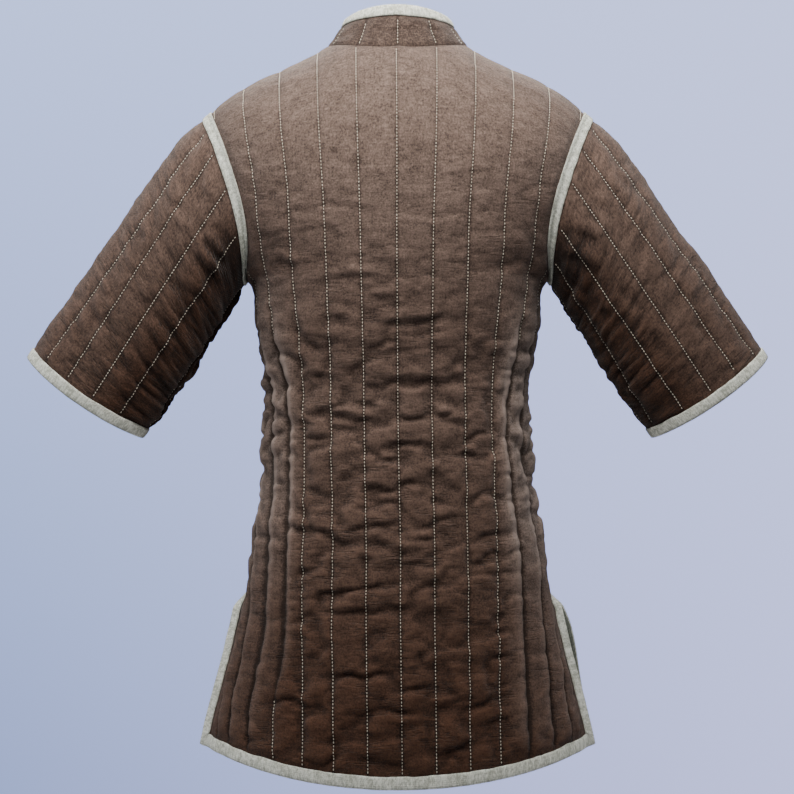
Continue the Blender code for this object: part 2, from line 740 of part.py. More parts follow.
def build_band(name, rows, loop, side):
    """Flat tape over the armhole seam, on the torso side and on the sleeve side."""
    lay = LAY + 0.0002
    rings = []
    tangent = np.roll(rows[0][0], -1, axis=0) - np.roll(rows[0][0], 1, axis=0)
    for i, (k, rim, rim_in, flat) in enumerate(loop):
        kk = np.array([k])
        along = 0.95 * BAND_W / sleeve_length(kk)
        base = sleeve_raw(kk, along)
        arm = mirrored(base, side)[0]
        arm_n = mirrored(sleeve_normal(kk, along), side)[0]
        body_n = unit(rim - rim_in) if i in (0, len(ARM_STEPS) - 1) else None
        across = unit(flat - rim)
        if body_n is None:
            body_n = unit(np.cross(across, tangent[i]))
            body_n *= np.sign(np.dot(body_n, rim - rim_in))
        else:
            body_n = unit(body_n - across * np.dot(body_n, across))
        seam = 0.5 * (rim + rows[0][0][i])
        mid = rim_vector(body_n, arm_n)
        start = flat - 0.05 * (flat - rim)
        rings.append(np.array([
            start + body_n * lay, seam + mid * lay, arm + arm_n * lay,
            arm + arm_n * (lay + BIND_T), seam + mid * (lay + BIND_T),
            start + body_n * (lay + BIND_T),
        ]))
    return sweep(name, rings, True)


# ---- collar ------------------------------------------------------------------
def neck_rim(panels):
    """Neck seam from the left front edge, round the back, to the right front edge."""
    def part(face, side):
        data = panels[face, side][ROW_COUNT - 1]
        near = data["q"] < NECK_Q + 0.001
        near[-2:] = False
        return data["out"][near], data["in"][near]

    fl, bl = part("front", -1), part("back", -1)
    fr, br = part("front", 1), part("back", 1)
    rim = []
    for n in range(2):
        left = 0.5 * (fl[n][-1] + bl[n][-1])
        right = 0.5 * (fr[n][-1] + br[n][-1])
        rim.append(np.concatenate([fl[n][:-1], [left], bl[n][:-1][::-1],
                                   br[n][1:-1], [right], fr[n][:-1][::-1]]))
    return rim


def build_collar(panels):
    rim_out, rim_in = neck_rim(panels)
    tangent = np.gradient(rim_out, axis=0)
    shift = unit(np.cross(rim_out - rim_in, tangent))
    shift *= np.sign(shift[:, 2:3])
    low_out = rim_out + GAP * shift
    low_in = rim_in + GAP * shift
    steps = np.linalg.norm(np.diff(rim_out, axis=0), axis=1)
    arc = np.concatenate([[0.0], np.cumsum(steps)])
    arc -= 0.5 * arc[-1]
    half = arc[-1]
    start = abs(rim_out[0][0])

    def base(w, h):
        w = np.clip(w, -half, half)
        low = np.stack([np.interp(w, arc, rim_out[:, i]) for i in range(3)], axis=-1)
        turn = math.pi * w / half
        x = COLLAR_TOP_X * np.sin(turn * (1.0 - start / (math.pi * COLLAR_TOP_X)))
        front = np.abs(turn) > 0.5 * math.pi
        y = -np.cos(turn) * np.where(front, COLLAR_TOP_Y["front"], COLLAR_TOP_Y["back"])
        lift = np.cos(turn) ** 2
        z = COLLAR_TOP_Z["side"] + lift * np.where(
            front, COLLAR_TOP_Z["front"] - COLLAR_TOP_Z["side"],
            COLLAR_TOP_Z["back"] - COLLAR_TOP_Z["side"])
        top = np.stack([x, y, z], axis=-1)
        lean = h[..., None]
        bow = np.stack([-0.10 * (low[:, 0] - x), -0.10 * (low[:, 1] - y), 0.0 * z], axis=-1)
        return low * (1.0 - lean) + top * lean + bow * (4.0 * lean * (1.0 - lean))

    def normal(w, h):
        w1 = np.clip(w + 0.002, -half, half)
        w0 = np.clip(w - 0.002, -half, half)
        h1 = np.clip(h + 0.03, 0.06, 1.0)
        n = unit(np.cross(base(w1, h) - base(w0, h), base(w, h1) - base(w, h1 - 0.06)))
        ends = (np.abs(w) > half - 0.001)[:, None]
        return unit(np.where(ends, n * np.array([0.0, 1.0, 1.0]), n))

    inner_end = half - BIND_W
    q = np.arange(-6 * SUB, 6 * SUB + 1) / SUB
    q = q[np.abs(q * COLLAR_CHANNEL) < inner_end - 0.009]
    places = np.concatenate([[-half, -inner_end], q * COLLAR_CHANNEL, [inner_end, half]])
    counts = np.concatenate([[0.0, 0.0], q, [0.0, 0.0]])
    height = 0.054
    rows = [(low_out, low_in, arc, arc)]
    for h in (0.14, 0.36, 0.58, 1.0 - BIND_W / height, 1.0):
        full = h > 0.7
        hs = np.full_like(places, h)
        n = normal(places, hs)
        puff = PUFF * channel(np.abs(counts) + 1e-9) * ramp(h / 0.16)
        puff *= ramp((1.0 - BIND_W / height - h) / 0.15)
        puff *= ramp((inner_end - np.abs(places)) / 0.010)
        out = base(places, hs) + n * puff[:, None]
        keep = full | (np.abs(counts - np.round(counts)) < 1e-6)
        keep = np.broadcast_to(keep, counts.shape).copy()
        inn = (base(places, hs) - n * WALL)[keep]
        rows.append((out, inn, places, places[keep]))
    outer, inner, key_out, key_in = [list(x) for x in zip(*rows)]
    wall("collar", outer, inner, key_out, key_in)
    rings = []
    for end, step in ((0, 1), (-1, -1)):
        side = []
        for row in rows[1:-2]:
            side.append(fold((row[0][end], row[0][end + step], row[1][end], row[1][end + step])))
        last, flat = rows[-1], rows[-2]
        side.append(fold((last[0][end], flat[0][end + step], last[1][end], flat[1][end + step])))
        rings.append(side)
    top = [fold((rows[-1][0][i], rows[-2][0][i], rows[-1][1][i], rows[-2][1][i]))
           for i in range(2, len(places) - 2)]
    sweep("binding_collar", rings[0] + top + rings[1][::-1], False)


# ---- fastenings and tacks ----------------------------------------------------
def build_fastening(number, z):
    """Button on the wearer's left front edge, cord loop from the right front edge."""
    x = 0.5 * BIND_T + BIND_T + GAP + 0.5 * BIND_W
    place = torso("front", np.array([-x, x]), np.array([z, z]))
    n = torso_normal("front", np.array([-x, x]), np.array([z, z]))
    out = unit(n[0] * np.array([0.0, 1.0, 1.0]))
    up = np.array([0.0, -out[2], out[1]])
    right = np.array([1.0, 0.0, 0.0])
    lift = 2.0 * GAP + BIND_T + 0.0004
    foot = np.array([-x, max(place[0][1], place[1][1]), place[0][2]]) + out * lift
    profile = ((0.0000, 0.0028), (0.0034, 0.0028), (0.0036, 0.6 * BUTTON_R),
               (0.0048, BUTTON_R), (0.0048 + 0.7 * BUTTON_H, 0.80 * BUTTON_R))
    sides = 10
    verts = []
    for height, radius in profile:
        for i in range(sides):
            a = 2.0 * math.pi * i / sides
            verts.append(foot + out * height + radius * (right * math.cos(a) + up * math.sin(a)))
    faces = []
    for r in range(len(profile) - 1):
        for i in range(sides):
            n1 = (i + 1) % sides
            faces.append((r * sides + i, r * sides + n1,
                          (r + 1) * sides + n1, (r + 1) * sides + i))
    faces.append(tuple(range(sides)))
    top = (len(profile) - 1) * sides
    verts.append(foot + out * (0.0048 + BUTTON_H))
    for i in range(sides):
        faces.append((top + i, top + (i + 1) % sides, len(verts) - 1))
    solid("button_%d" % number, verts, faces, *TAPE)
    cord = 0.0011
    centre = foot + out * (cord + 0.0003)
    reach_x = 2.0 * x - 0.001
    path = [(reach_x, 0.0040), (0.5 * reach_x, 0.0041)]
    path += [(0.0045 * math.cos(a), 0.0045 * math.sin(a))
             for a in np.linspace(0.45 * math.pi, 1.55 * math.pi, 5)]
    path += [(0.5 * reach_x, -0.0041), (reach_x, -0.0040)]
    path = np.array([centre + right * p + up * r for p, r in path])
    heading = unit(np.gradient(path, axis=0))
    rings = []
    for p, h in zip(path, heading):
        across = unit(np.cross(h, out))
        rings.append([p + cord * (across * math.cos(a) + out * math.sin(a))
                      for a in np.linspace(0.0, 2.0 * math.pi, 7)[:-1]])
    sweep("loop_%d" % number, np.array(rings), False)


def build_tack(name, side):
    """Turned end of the slit binding, sewn flat across the top of the slit."""
    z = np.array([SLIT_TOP + 0.0075, SLIT_TOP + 0.0005])
    edge = reach("back", np.array([side, side]), z)
    rings = []
    for zi, s in zip(z, edge):
        s1 = np.array([side * (s - 0.0045)])
        back = torso("back", s1, np.array([zi]))[0]
        front = torso("front", s1, np.array([zi]))[0]
        mid = torso("back", np.array([side * s]), np.array([zi]))[0] * np.array([1, 0, 1])
        out = np.array([side, 0.0, 0.0])
        low = [p + out * 0.0014 for p in (back, mid, front)]
        high = [p + out * (0.0014 + BIND_T) for p in (front, mid, back)]
        rings.append(low + high)
    sweep(name, np.array(rings), False)


# ---- build -------------------------------------------------------------------
for thing in list(bpy.data.objects):
    bpy.data.objects.remove(thing, do_unlink=True)

halves = {(face, side): half_panel(face, side)
          for face in ("back", "front") for side in (-1, 1)}
wall("back", *joined_rows(halves["back", 1], halves["back", -1], "back"))
wall("front_right", *joined_rows(halves["front", 1], None, "front"))
wall("front_left", *joined_rows(None, halves["front", -1], "front"))
build_collar(halves)

back_tape = tape_rings(halves["back", -1], False) + tape_rings(halves["back", 1], False)[::-1][1:]
sweep("binding_back", [fold(p) for p in back_tape], False)
for side, word in ((1, "right"), (-1, "left")):
    sweep("binding_front_" + word, [fold(p) for p in tape_rings(halves["front", side], True)], False)
    panels = {face: halves[face, side] for face in ("back", "front")}
    sleeve_rows, arm_loop = build_sleeve("sleeve_" + word, panels, side, 0.92 if side > 0 else 0.64)
    build_cuff("binding_cuff_" + word, sleeve_rows)
    build_band("binding_armhole_" + word, sleeve_rows, arm_loop, side)
    build_tack("slit_tack_" + word, side)
for n in range(BUTTONS):
    build_fastening(n + 1, -0.075 - 0.105 * n)
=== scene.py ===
import math

import bpy
import numpy as np
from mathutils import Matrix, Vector


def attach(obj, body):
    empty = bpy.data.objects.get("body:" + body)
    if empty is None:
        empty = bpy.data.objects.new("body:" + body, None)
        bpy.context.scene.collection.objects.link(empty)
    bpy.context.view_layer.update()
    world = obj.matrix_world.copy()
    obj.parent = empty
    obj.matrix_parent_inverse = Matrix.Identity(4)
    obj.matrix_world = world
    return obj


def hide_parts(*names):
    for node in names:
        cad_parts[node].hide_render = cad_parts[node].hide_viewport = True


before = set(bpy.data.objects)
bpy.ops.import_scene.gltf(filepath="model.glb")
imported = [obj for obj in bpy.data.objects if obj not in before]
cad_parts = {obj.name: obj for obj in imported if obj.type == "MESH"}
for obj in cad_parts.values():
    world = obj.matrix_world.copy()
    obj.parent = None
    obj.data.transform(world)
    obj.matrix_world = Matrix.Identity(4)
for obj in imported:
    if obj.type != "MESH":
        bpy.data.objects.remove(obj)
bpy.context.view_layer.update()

# ---- driving sizes -----------------------------------------------------------
GAP = 0.0003             # clearance between pieces sewn together
LAY = 0.0006             # clearance under a tape that lies over cloth
WALL = 0.0036            # cloth and wadding at a stitch line
PUFF = 0.0030            # wadding standing above the stitch lines
SIDE_PUFF = 0.0065       # more of it where the sides gather into ridges
BIND_W = 0.013           # finished width of the hem, slit and front bindings
BIND_T = 0.0012          # thickness of the folded tape
CUFF_W = 0.012           # finished width of the cuff binding
BAND_W = 0.0070          # armhole tape on each side of its seam
BAND_TIP = 0.0026        # the same tape where it narrows under the arm
SEAM_W = 0.0060          # flat cloth beside an unbound seam
SQUARE = 2.4             # exponent of the torso sections, 2 is an ellipse
SLIT_TOP = -0.672        # height where the side slits begin
SLIT_KICK = 0.0150       # how far their bound edges stand out sideways
TAPE_TOP = -0.681        # height where the slit bindings begin
ROLL_Z = -0.170          # height where back and chest start to roll to the shoulder
ROLL_V = 0.200           # cloth coordinate taken up by that roll
ARM_TOP = -0.0855        # armhole seam, highest point
ARM_LOW = -0.2890        # armhole seam, lowest point
ARM_DEPTH = 0.082        # armhole seam, half its width front to back
NECK_Q = 1.83            # channels from the middle of the neck to its side
SLEEVE_CHANNELS = 12     # channels around a sleeve
CUFF_BOW = 0.0065        # how much longer a sleeve is down its back and front
COLLAR_CHANNEL = 0.0500  # width of a channel of the collar
BUTTONS = 6
BUTTON_R = 0.0085        # radius of a cloth button
BUTTON_H = 0.0050        # height of its dome

# Sections of the torso, from the hem up; the pitch is the width of one channel.
TORSO_COLUMNS = ("z", "half_width", "back_depth", "front_depth", "pitch")
TORSO = (
    (-0.905, 0.2370, 0.178, 0.168, 0.0400),
    (-0.860, 0.2272, 0.174, 0.164, 0.0401),
    (-0.820, 0.2180, 0.168, 0.159, 0.0402),
    (-0.784, 0.2085, 0.162, 0.154, 0.0403),
    (-0.740, 0.1975, 0.155, 0.149, 0.0404),
    (-0.700, 0.1890, 0.148, 0.144, 0.0405),
    (-0.670, 0.1855, 0.143, 0.140, 0.0405),
    (-0.610, 0.1775, 0.134, 0.134, 0.0405),
    (-0.544, 0.1672, 0.123, 0.127, 0.0405),
    (-0.480, 0.1628, 0.116, 0.120, 0.0405),
    (-0.445, 0.1608, 0.114, 0.117, 0.0406),
    (-0.386, 0.1672, 0.118, 0.119, 0.0410),
    (-0.346, 0.1745, 0.124, 0.124, 0.0415),
    (-0.289, 0.1775, 0.131, 0.129, 0.0422),
    (-0.200, 0.1900, 0.134, 0.130, 0.0431),
    (-0.110, 0.2000, 0.131, 0.128, 0.0462),
    (0.040, 0.2000, 0.129, 0.127, 0.0480),
)
SHOULDER_COLUMNS = ("x", "z")
SHOULDER = (
    (0.000, 0.0250), (0.045, 0.0155), (0.085, 0.0000), (0.110, -0.0150),
    (0.145, -0.0310), (0.175, -0.0442), (0.205, -0.0623), (0.236, -0.0855),
)
ARMHOLE_COLUMNS = ("z", "x")
ARMHOLE = (
    (-0.289, 0.1870), (-0.265, 0.1850), (-0.235, 0.1865), (-0.200, 0.1930),
    (-0.160, 0.2050), (-0.120, 0.2200), (-0.0855, 0.2360),
)
NECK_DEPTH = {"back": 0.074, "front": 0.098}
HEM_SIDE = {"back": -0.8638, "front": -0.8625}
HEM_DROP = {"back": 0.0260, "front": 0.0225}

# Sleeve sections, armhole to cuff: outline on top, outline below, half thickness.
SLEEVE_COLUMNS = ("t", "top_x", "top_z", "low_x", "low_z", "half_y")
SLEEVE = (
    (0.00, 0.2360, -0.0855, 0.1870, -0.2890, 0.0820),
    (0.10, 0.2712, -0.1170, 0.2038, -0.3128, 0.0810),
    (0.20, 0.2942, -0.1471, 0.2168, -0.3348, 0.0790),
    (0.34, 0.3222, -0.1851, 0.2338, -0.3618, 0.0760),
    (0.46, 0.3467, -0.2231, 0.2478, -0.3858, 0.0735),
    (0.59, 0.3752, -0.2611, 0.2638, -0.4108, 0.0700),
    (0.76, 0.4092, -0.3121, 0.2868, -0.4418, 0.0650),
    (1.00, 0.4605, -0.3856, 0.3185, -0.4854, 0.0580),
)
# Collar: top edge, half width at the sides, depth and height in back and front.
COLLAR_TOP_X = 0.0664
COLLAR_TOP_Y = {"back": 0.060, "front": 0.072}
COLLAR_TOP_Z = {"side": 0.0315, "back": 0.0415, "front": 0.0050}


def curve(columns, table, name):
    """A smooth function through one named column of a table."""
    keys = np.array([row[0] for row in table])
    values = np.array([row[columns.index(name)] for row in table])
    slopes = np.gradient(values, keys)

    def at(key):
        key = np.clip(np.asarray(key, float), keys[0], keys[-1])
        i = np.clip(np.searchsorted(keys, key) - 1, 0, len(keys) - 2)
        step = keys[i + 1] - keys[i]
        u = (key - keys[i]) / step
        rise = (3.0 - 2.0 * u) * u * u
        ends = values[i] * (1.0 - rise) + values[i + 1] * rise
        tilt = u * (1.0 - u) * ((1.0 - u) * slopes[i] - u * slopes[i + 1])
        return ends + step * tilt

    return at


half_width = curve(TORSO_COLUMNS, TORSO, "half_width")
pitch_at = curve(TORSO_COLUMNS, TORSO, "pitch")
depth_at = {
    "back": curve(TORSO_COLUMNS, TORSO, "back_depth"),
    "front": curve(TORSO_COLUMNS, TORSO, "front_depth"),
}
shoulder_z = curve(SHOULDER_COLUMNS, SHOULDER, "z")
armhole_x = curve(ARMHOLE_COLUMNS, ARMHOLE, "x")
ARM_MID = 0.5 * (ARM_TOP + ARM_LOW)
ARM_HALF = 0.5 * (ARM_TOP - ARM_LOW)


def ramp(value):
    """0 below 0, 1 above 1, smooth between."""
    u = np.clip(value, 0.0, 1.0)
    return u * u * (3.0 - 2.0 * u)


def unit(vectors):
    """The vectors at length one."""
    size = np.linalg.norm(vectors, axis=-1, keepdims=True)
    return vectors / np.maximum(size, 1e-12)


def arc_of(path):
    """Length along a polyline up to each of its points."""
    return np.concatenate([[0.0], np.cumsum(np.linalg.norm(np.diff(path, axis=0), axis=1))])


def edge_curl(z):
    """How far the side edge turns outwards under the arm."""
    arm = np.where(z > ARM_LOW, (z - ARM_LOW) / 0.022, (z - ARM_LOW) / 0.012)
    return 0.0095 * np.exp(-arm * arm)


def slit_kick(z):
    """How far the bound edge of a slit stands out sideways."""
    return SLIT_KICK * ramp((SLIT_TOP - 0.003 - z) / 0.026)


def slit_spread(z):
    """Half the opening between the back and the front edge of a slit."""
    return 0.032 * (1.0 - np.exp(np.minimum(z - SLIT_TOP, 0.0) / 0.090))


def flare(face, side, z):
    """Extra half width of the front skirt, which swings out more on one side."""
    if face == "back":
        return np.zeros_like(z)
    swing = np.exp(-((z + 0.735) / 0.068) ** 2) * ramp((SLIT_TOP - z) / 0.050)
    return np.where(side > 0, 0.0085, -0.0030) * swing


def armhole_depth(z):
    """Distance of the armhole seam from the middle plane, front to back."""
    rise = np.clip((z - ARM_MID) / ARM_HALF, -1.0, 1.0)
    return ARM_DEPTH * np.sqrt(1.0 - rise * rise)


def armhole_width(face):
    """Half width of the full section whose cut edge is the armhole seam."""
    z = ARM_MID - ARM_HALF * np.cos(np.linspace(0.0, 0.97 * math.pi, 60))
    x = armhole_x(z)
    turn = (z - ROLL_Z) / (shoulder_z(x) - ROLL_Z)
    roll = np.sqrt(1.0 - np.clip(turn, 0.0, 0.999) ** 2)
    cut = armhole_depth(z) / roll / depth_at[face](z)
    width = (x - edge_curl(z)) / (1.0 - cut ** SQUARE) ** (1.0 / SQUARE)
    return z, width


ARM_WIDTH = {face: armhole_width(face) for face in ("back", "front")}
TURN = np.linspace(0.0, 0.5 * math.pi, 49)
SIN_TURN = np.sin(TURN) ** (2.0 / SQUARE)
COS_TURN = np.cos(TURN) ** (2.0 / SQUARE)


def section(face, side, z):
    """Points of the half section at each z, from the middle to the side."""
    width = half_width(z) + flare(face, side, z)
    width = np.where(z > ARM_LOW, np.interp(z, *ARM_WIDTH[face]), width)
    x = width[:, None] * SIN_TURN
    y = depth_at[face](z)[:, None] * COS_TURN
    steps = np.hypot(np.diff(x, axis=1), np.diff(y, axis=1))
    arc = np.concatenate([np.zeros((len(z), 1)), np.cumsum(steps, axis=1)], axis=1)
    return x, y, arc


def pick(arc, want, *rows):
    """Values of the rows where the arc reaches the wanted length."""
    i = np.clip((arc < want[:, None]).sum(axis=1) - 1, 0, arc.shape[1] - 2)
    n = np.arange(len(want))
    u = (want - arc[n, i]) / np.maximum(arc[n, i + 1] - arc[n, i], 1e-9)
    u = np.clip(u, 0.0, 1.0)
    return [row[n, i] * (1.0 - u) + row[n, i + 1] * u for row in rows]


def reach(face, side, z):
    """Cloth length from the middle of the panel to its side edge."""
    x, _, arc = section(face, side, z)
    limit = np.where(z > ARM_LOW, armhole_x(z) - edge_curl(z), x[:, -1])
    return pick(x, limit, arc)[0]


def torso(face, s, v):
    """The stitched surface: s across the cloth from the middle, v up the cloth."""
    s = np.atleast_1d(np.asarray(s, float))
    v = np.atleast_1d(np.asarray(v, float))
    side = np.where(s < 0.0, -1.0, 1.0)
    a = np.abs(s)
    turn = 0.5 * math.pi * np.clip((v - ROLL_Z) / ROLL_V, 0.0, 1.0)
    x = a.copy()
    for _ in range(4):
        rise = shoulder_z(x) - ROLL_Z
        z = np.where(v > ROLL_Z, ROLL_Z + rise * np.sin(turn), v)
        xs, ys, arc = section(face, side, z)
        x, y = pick(arc, a, xs, ys)
    away = np.maximum(reach(face, side, z) - a, 0.0)
    x = x + edge_curl(z) * np.exp(-((away / 0.032) ** 2)) + slit_kick(z) * np.exp(-away / 0.015)
    y = y * np.cos(turn) + 0.5 * GAP + slit_spread(z) * np.exp(-((away / 0.075) ** 2))
    return np.stack([side * x, -y if face == "back" else y, z], axis=1)


def torso_normal(face, s, v):
    """Outer normals of the stitched surface."""
    step = 0.0015
    v1 = np.minimum(v + step, ROLL_Z + ROLL_V)
    limit = reach(face, np.sign(s), torso(face, s, v)[:, 2])
    s1 = np.minimum(s + step, limit)
    s0 = np.maximum(s - step, -limit)
    across = torso(face, s1, v) - torso(face, s0, v)
    along = torso(face, s, v1) - torso(face, s, v1 - 2.0 * step)
    out = unit(np.cross(across, along))
    return out if face == "back" else -out


# ---- edges of the panels -----------------------------------------------------
def hem_v(face, f):
    """Cloth height of the hem, f being the share of the way from middle to side."""
    swing = (1.0 - np.clip(np.abs(f) / 0.80, 0.0, 1.0) ** 2) ** 1.8
    return HEM_SIDE[face] - HEM_DROP[face] * swing


def neck_table(face):
    """Cloth height of the neck seam over the channel count q."""
    angle = np.linspace(0.0, 0.5 * math.pi, 31)
    q = NECK_Q * np.sin(angle)
    back = NECK_DEPTH[face] * np.cos(angle)
    v = np.full_like(q, ROLL_Z + 0.6 * ROLL_V)
    for _ in range(6):
        xs, ys, arc = section(face, np.ones_like(q), torso(face, q * pitch_at(v), v)[:, 2])
        full = pick(arc, q * pitch_at(v), ys)[0]
        v = ROLL_Z + ROLL_V * np.arccos(np.clip(back / full, 0.0, 1.0)) / (0.5 * math.pi)
    return q, v


NECK_V = {face: neck_table(face) for face in ("back", "front")}


def top_v(face, q):
    """Cloth height of the top edge: neck seam in the middle, shoulder seam beyond it."""
    q = np.abs(q)
    return np.where(q < NECK_Q, np.interp(q, *NECK_V[face]), ROLL_Z + ROLL_V)


# ---- sleeve surface ----------------------------------------------------------
sleeve_at = {n: curve(SLEEVE_COLUMNS, SLEEVE, n) for n in SLEEVE_COLUMNS[1:]}


def armhole(k):
    """Armhole seam; k is 0 under the arm, a quarter turn at the back, half on top."""
    z = ARM_MID - ARM_HALF * np.cos(k)
    y = -ARM_DEPTH * np.sin(k)
    y = y - 0.5 * GAP * np.sign(np.where(np.abs(np.sin(k)) < 1e-6, 0.0, np.sin(k)))
    return np.stack([armhole_x(z), y, z], axis=-1)


def sleeve_raw(k, t):
    """The stitched surface of the right sleeve: k round the arm, t from armhole to cuff."""
    get = {n: f(t) for n, f in sleeve_at.items()}
    top = np.stack([get["top_x"], np.zeros_like(t), get["top_z"]], axis=-1)
    low = np.stack([get["low_x"], np.zeros_like(t), get["low_z"]], axis=-1)
    tube = 0.5 * (top + low) - 0.5 * (top - low) * np.cos(k)[..., None]
    tube[..., 1] = -get["half_y"] * np.sin(k)
    bow = CUFF_BOW * ramp((t - 0.4) / 0.6) * np.sin(k) ** 2
    tube = tube + bow[..., None] * np.array([0.59, 0.0, -0.81])
    share = ramp(t / 0.22)[..., None]
    start = armhole(k) + (tube - sleeve_ends(k))
    return start * (1.0 - share) + tube * share


def sleeve_ends(k):
    """The plain first section, which the armhole seam takes the place of."""
    first = SLEEVE[0]
    x = 0.5 * (first[1] + first[3]) - 0.5 * (first[1] - first[3]) * np.cos(k)
    z = 0.5 * (first[2] + first[4]) - 0.5 * (first[2] - first[4]) * np.cos(k)
    return np.stack([x, -first[5] * np.sin(k), z], axis=-1)


def sleeve_length(k):
    """Length of the sleeve along its side k, from armhole to cuff."""
    return 0.290 - 0.068 * np.cos(k)


def sleeve_normal(k, t):
    """Outer normals of the stitched surface of the right sleeve."""
    t1 = np.clip(t + 0.012, 0.024, 1.0)
    around = sleeve_raw(k + 0.02, t) - sleeve_raw(k - 0.02, t)
    along = sleeve_raw(k, t1) - sleeve_raw(k, t1 - 0.024)
    return unit(np.cross(along, around))


def body_beside(side, z, at_back, inset=0.0):
    """Points and outer normals of the body along its armhole edge, or inset from it."""
    climb = np.clip((z - ROLL_Z) / (shoulder_z(armhole_x(z)) - ROLL_Z), 0.0, 1.0)
    v = np.where(z > ROLL_Z, ROLL_Z + ROLL_V * np.arcsin(climb) / (0.5 * math.pi), z)
    places, normals = [], []
    for face in ("back", "front"):
        s = side * (reach(face, np.full_like(z, side), z) - inset)
        places.append(torso(face, s, v))
        normals.append(torso_normal(face, s, v))
    return [np.where(at_back[:, None], *pair) for pair in (places, normals)]


def rim_vector(one, two, most=1.7):
    """Mitre between two cloth walls that meet at a seam, from their outer normals."""
    both = (one + two) / (1.0 + np.sum(one * two, axis=-1, keepdims=True))
    size = np.linalg.norm(both, axis=-1, keepdims=True)
    return both * np.minimum(1.0, most / size)


def mirrored(points, side):
    """The points of the right side for a side, 1 being right and -1 left."""
    return points * np.array([side, 1.0, 1.0])


# ---- sizes that only the visible cloth has -----------------------------------
FRONT_START = 0.5 * BIND_T + BIND_T + GAP    # cloth edge beside the front opening
STITCH = 0.0041          # from one stitch to the next
STITCH_LONG = 0.0029     # length of a stitch
THREAD_R = 0.00047       # radius of the sewing thread
SLEEVE_PITCH = 0.036     # mean width of a channel of a sleeve
SLEEVE_LONG = 0.29       # mean length of a sleeve
COLLAR_HEIGHT = 0.054    # cloth height of the collar
NECK_PITCH = 0.046       # width of a channel at the neck seam
CORD_R = 0.0011          # radius of the cord of the button loops
LOOP_R = 0.0046          # inner bend of such a loop, round the button's shank
BUTTON_TOP = -0.075      # height of the top button
BUTTON_STEP = 0.105      # from one button to the next
TAPE_STEP = 0.0026       # from one ring of a folded tape to the next
CORD_STEP = 0.0007       # the same for a cord
# Ends of the stitch lines on the back of each sleeve, lowest first: x and z at the
# armhole, x and z at the cuff, x counted outwards.
SLEEVE_LINES = {
    "right": (
        (0.189, -0.267, 0.316, -0.471), (0.194, -0.230, 0.348, -0.453),
        (0.209, -0.181, 0.380, -0.432), (0.2235, -0.141, 0.410, -0.409),
        (0.238, -0.113, 0.432, -0.382)),
    "left": (
        (0.180, -0.287, 0.309, -0.473), (0.193, -0.239, 0.340, -0.459),
        (0.207, -0.191, 0.3715, -0.4415), (0.223, -0.148, 0.4005, -0.418),
        (0.2335, -0.118, 0.425, -0.393)),
}

# How far the stitch lines of the back stray from their even spacing: all of them,
# those beside the middle (outwards), and those near the sides (outwards).
DRIFT_COLUMNS = ("z", "all", "near", "outer")
DRIFT = (
    (-0.890, 0.0056, 0.0000, -0.0050),
    (-0.780, 0.0044, 0.0000, -0.0045),
    (-0.680, 0.0032, 0.0000, -0.0045),
    (-0.620, 0.0034, 0.0000, -0.0050),
    (-0.540, 0.0018, 0.0000, -0.0065),
    (-0.450, 0.0003, 0.0000, -0.0080),
    (-0.390, 0.0000, 0.0000, -0.0050),
    (-0.350, -0.0004, 0.0000, -0.0020),
    (-0.300, -0.0006, 0.0004, 0.0045),
    (-0.250, -0.0010, 0.0006, 0.0040),
    (-0.200, -0.0009, 0.0012, 0.0010),
    (-0.100, -0.0012, 0.0016, 0.0000),
    (0.030, -0.0024, 0.0016, 0.0000),
)

# Creases laid one by one: x and z of both ends in the view from behind, width, depth,
# and the side on which a soft ridge stands (1 is the upper or left one).
BACK_CREASES = (
    (-0.104, -0.299, -0.018, -0.293, 0.0050, 0.0016, 1.0),
    (-0.074, -0.324, -0.040, -0.331, 0.0040, 0.0013, -1.0),
    (-0.032, -0.318, 0.002, -0.321, 0.0040, 0.0012, 1.0),
    (-0.120, -0.364, -0.086, -0.384, 0.0048, 0.0018, 1.0),
    (-0.024, -0.373, 0.000, -0.368, 0.0040, 0.0012, -1.0),
    (0.010, -0.351, 0.060, -0.341, 0.0046, 0.0017, 1.0),
    (-0.112, -0.407, -0.076, -0.417, 0.0046, 0.0016, 1.0),
    (-0.024, -0.420, 0.090, -0.418, 0.0062, 0.0021, 1.0),
    (-0.112, -0.456, -0.050, -0.463, 0.0052, 0.0022, 1.0),
    (-0.056, -0.464, -0.004, -0.469, 0.0046, 0.0018, 1.0),
    (0.040, -0.460, 0.088, -0.470, 0.0052, 0.0021, 1.0),
    (-0.136, -0.591, -0.086, -0.601, 0.0058, 0.0022, 1.0),
    (-0.092, -0.599, -0.058, -0.614, 0.0060, 0.0022, 1.0),
    (-0.064, -0.613, -0.036, -0.607, 0.0055, 0.0018, -1.0),
    (-0.042, -0.609, 0.006, -0.620, 0.0060, 0.0022, 1.0),
    (0.000, -0.621, 0.030, -0.618, 0.0055, 0.0016, 1.0),
    (-0.070, -0.512, -0.030, -0.500, 0.0065, 0.0014, -1.0),
    (0.030, -0.530, 0.078, -0.545, 0.0068, 0.0015, 1.0),
    (-0.100, -0.680, -0.050, -0.668, 0.0075, 0.0014, -1.0),
    (0.020, -0.700, 0.074, -0.684, 0.0078, 0.0015, 1.0),
    (-0.040, -0.742, 0.010, -0.756, 0.0080, 0.0015, 1.0),
    (0.060, -0.770, 0.108, -0.752, 0.0078, 0.0014, -1.0),
    (-0.120, -0.800, -0.066, -0.786, 0.0078, 0.0014, 1.0),
    (-0.020, -0.824, 0.040, -0.816, 0.0070, 0.0013, 1.0),
    (0.085, -0.640, 0.124, -0.628, 0.0060, 0.0016, -1.0),
    (-0.150, -0.268, -0.118, -0.282, 0.0046, 0.0013, 1.0),
    (0.112, -0.286, 0.150, -0.270, 0.0046, 0.0013, -1.0),
)
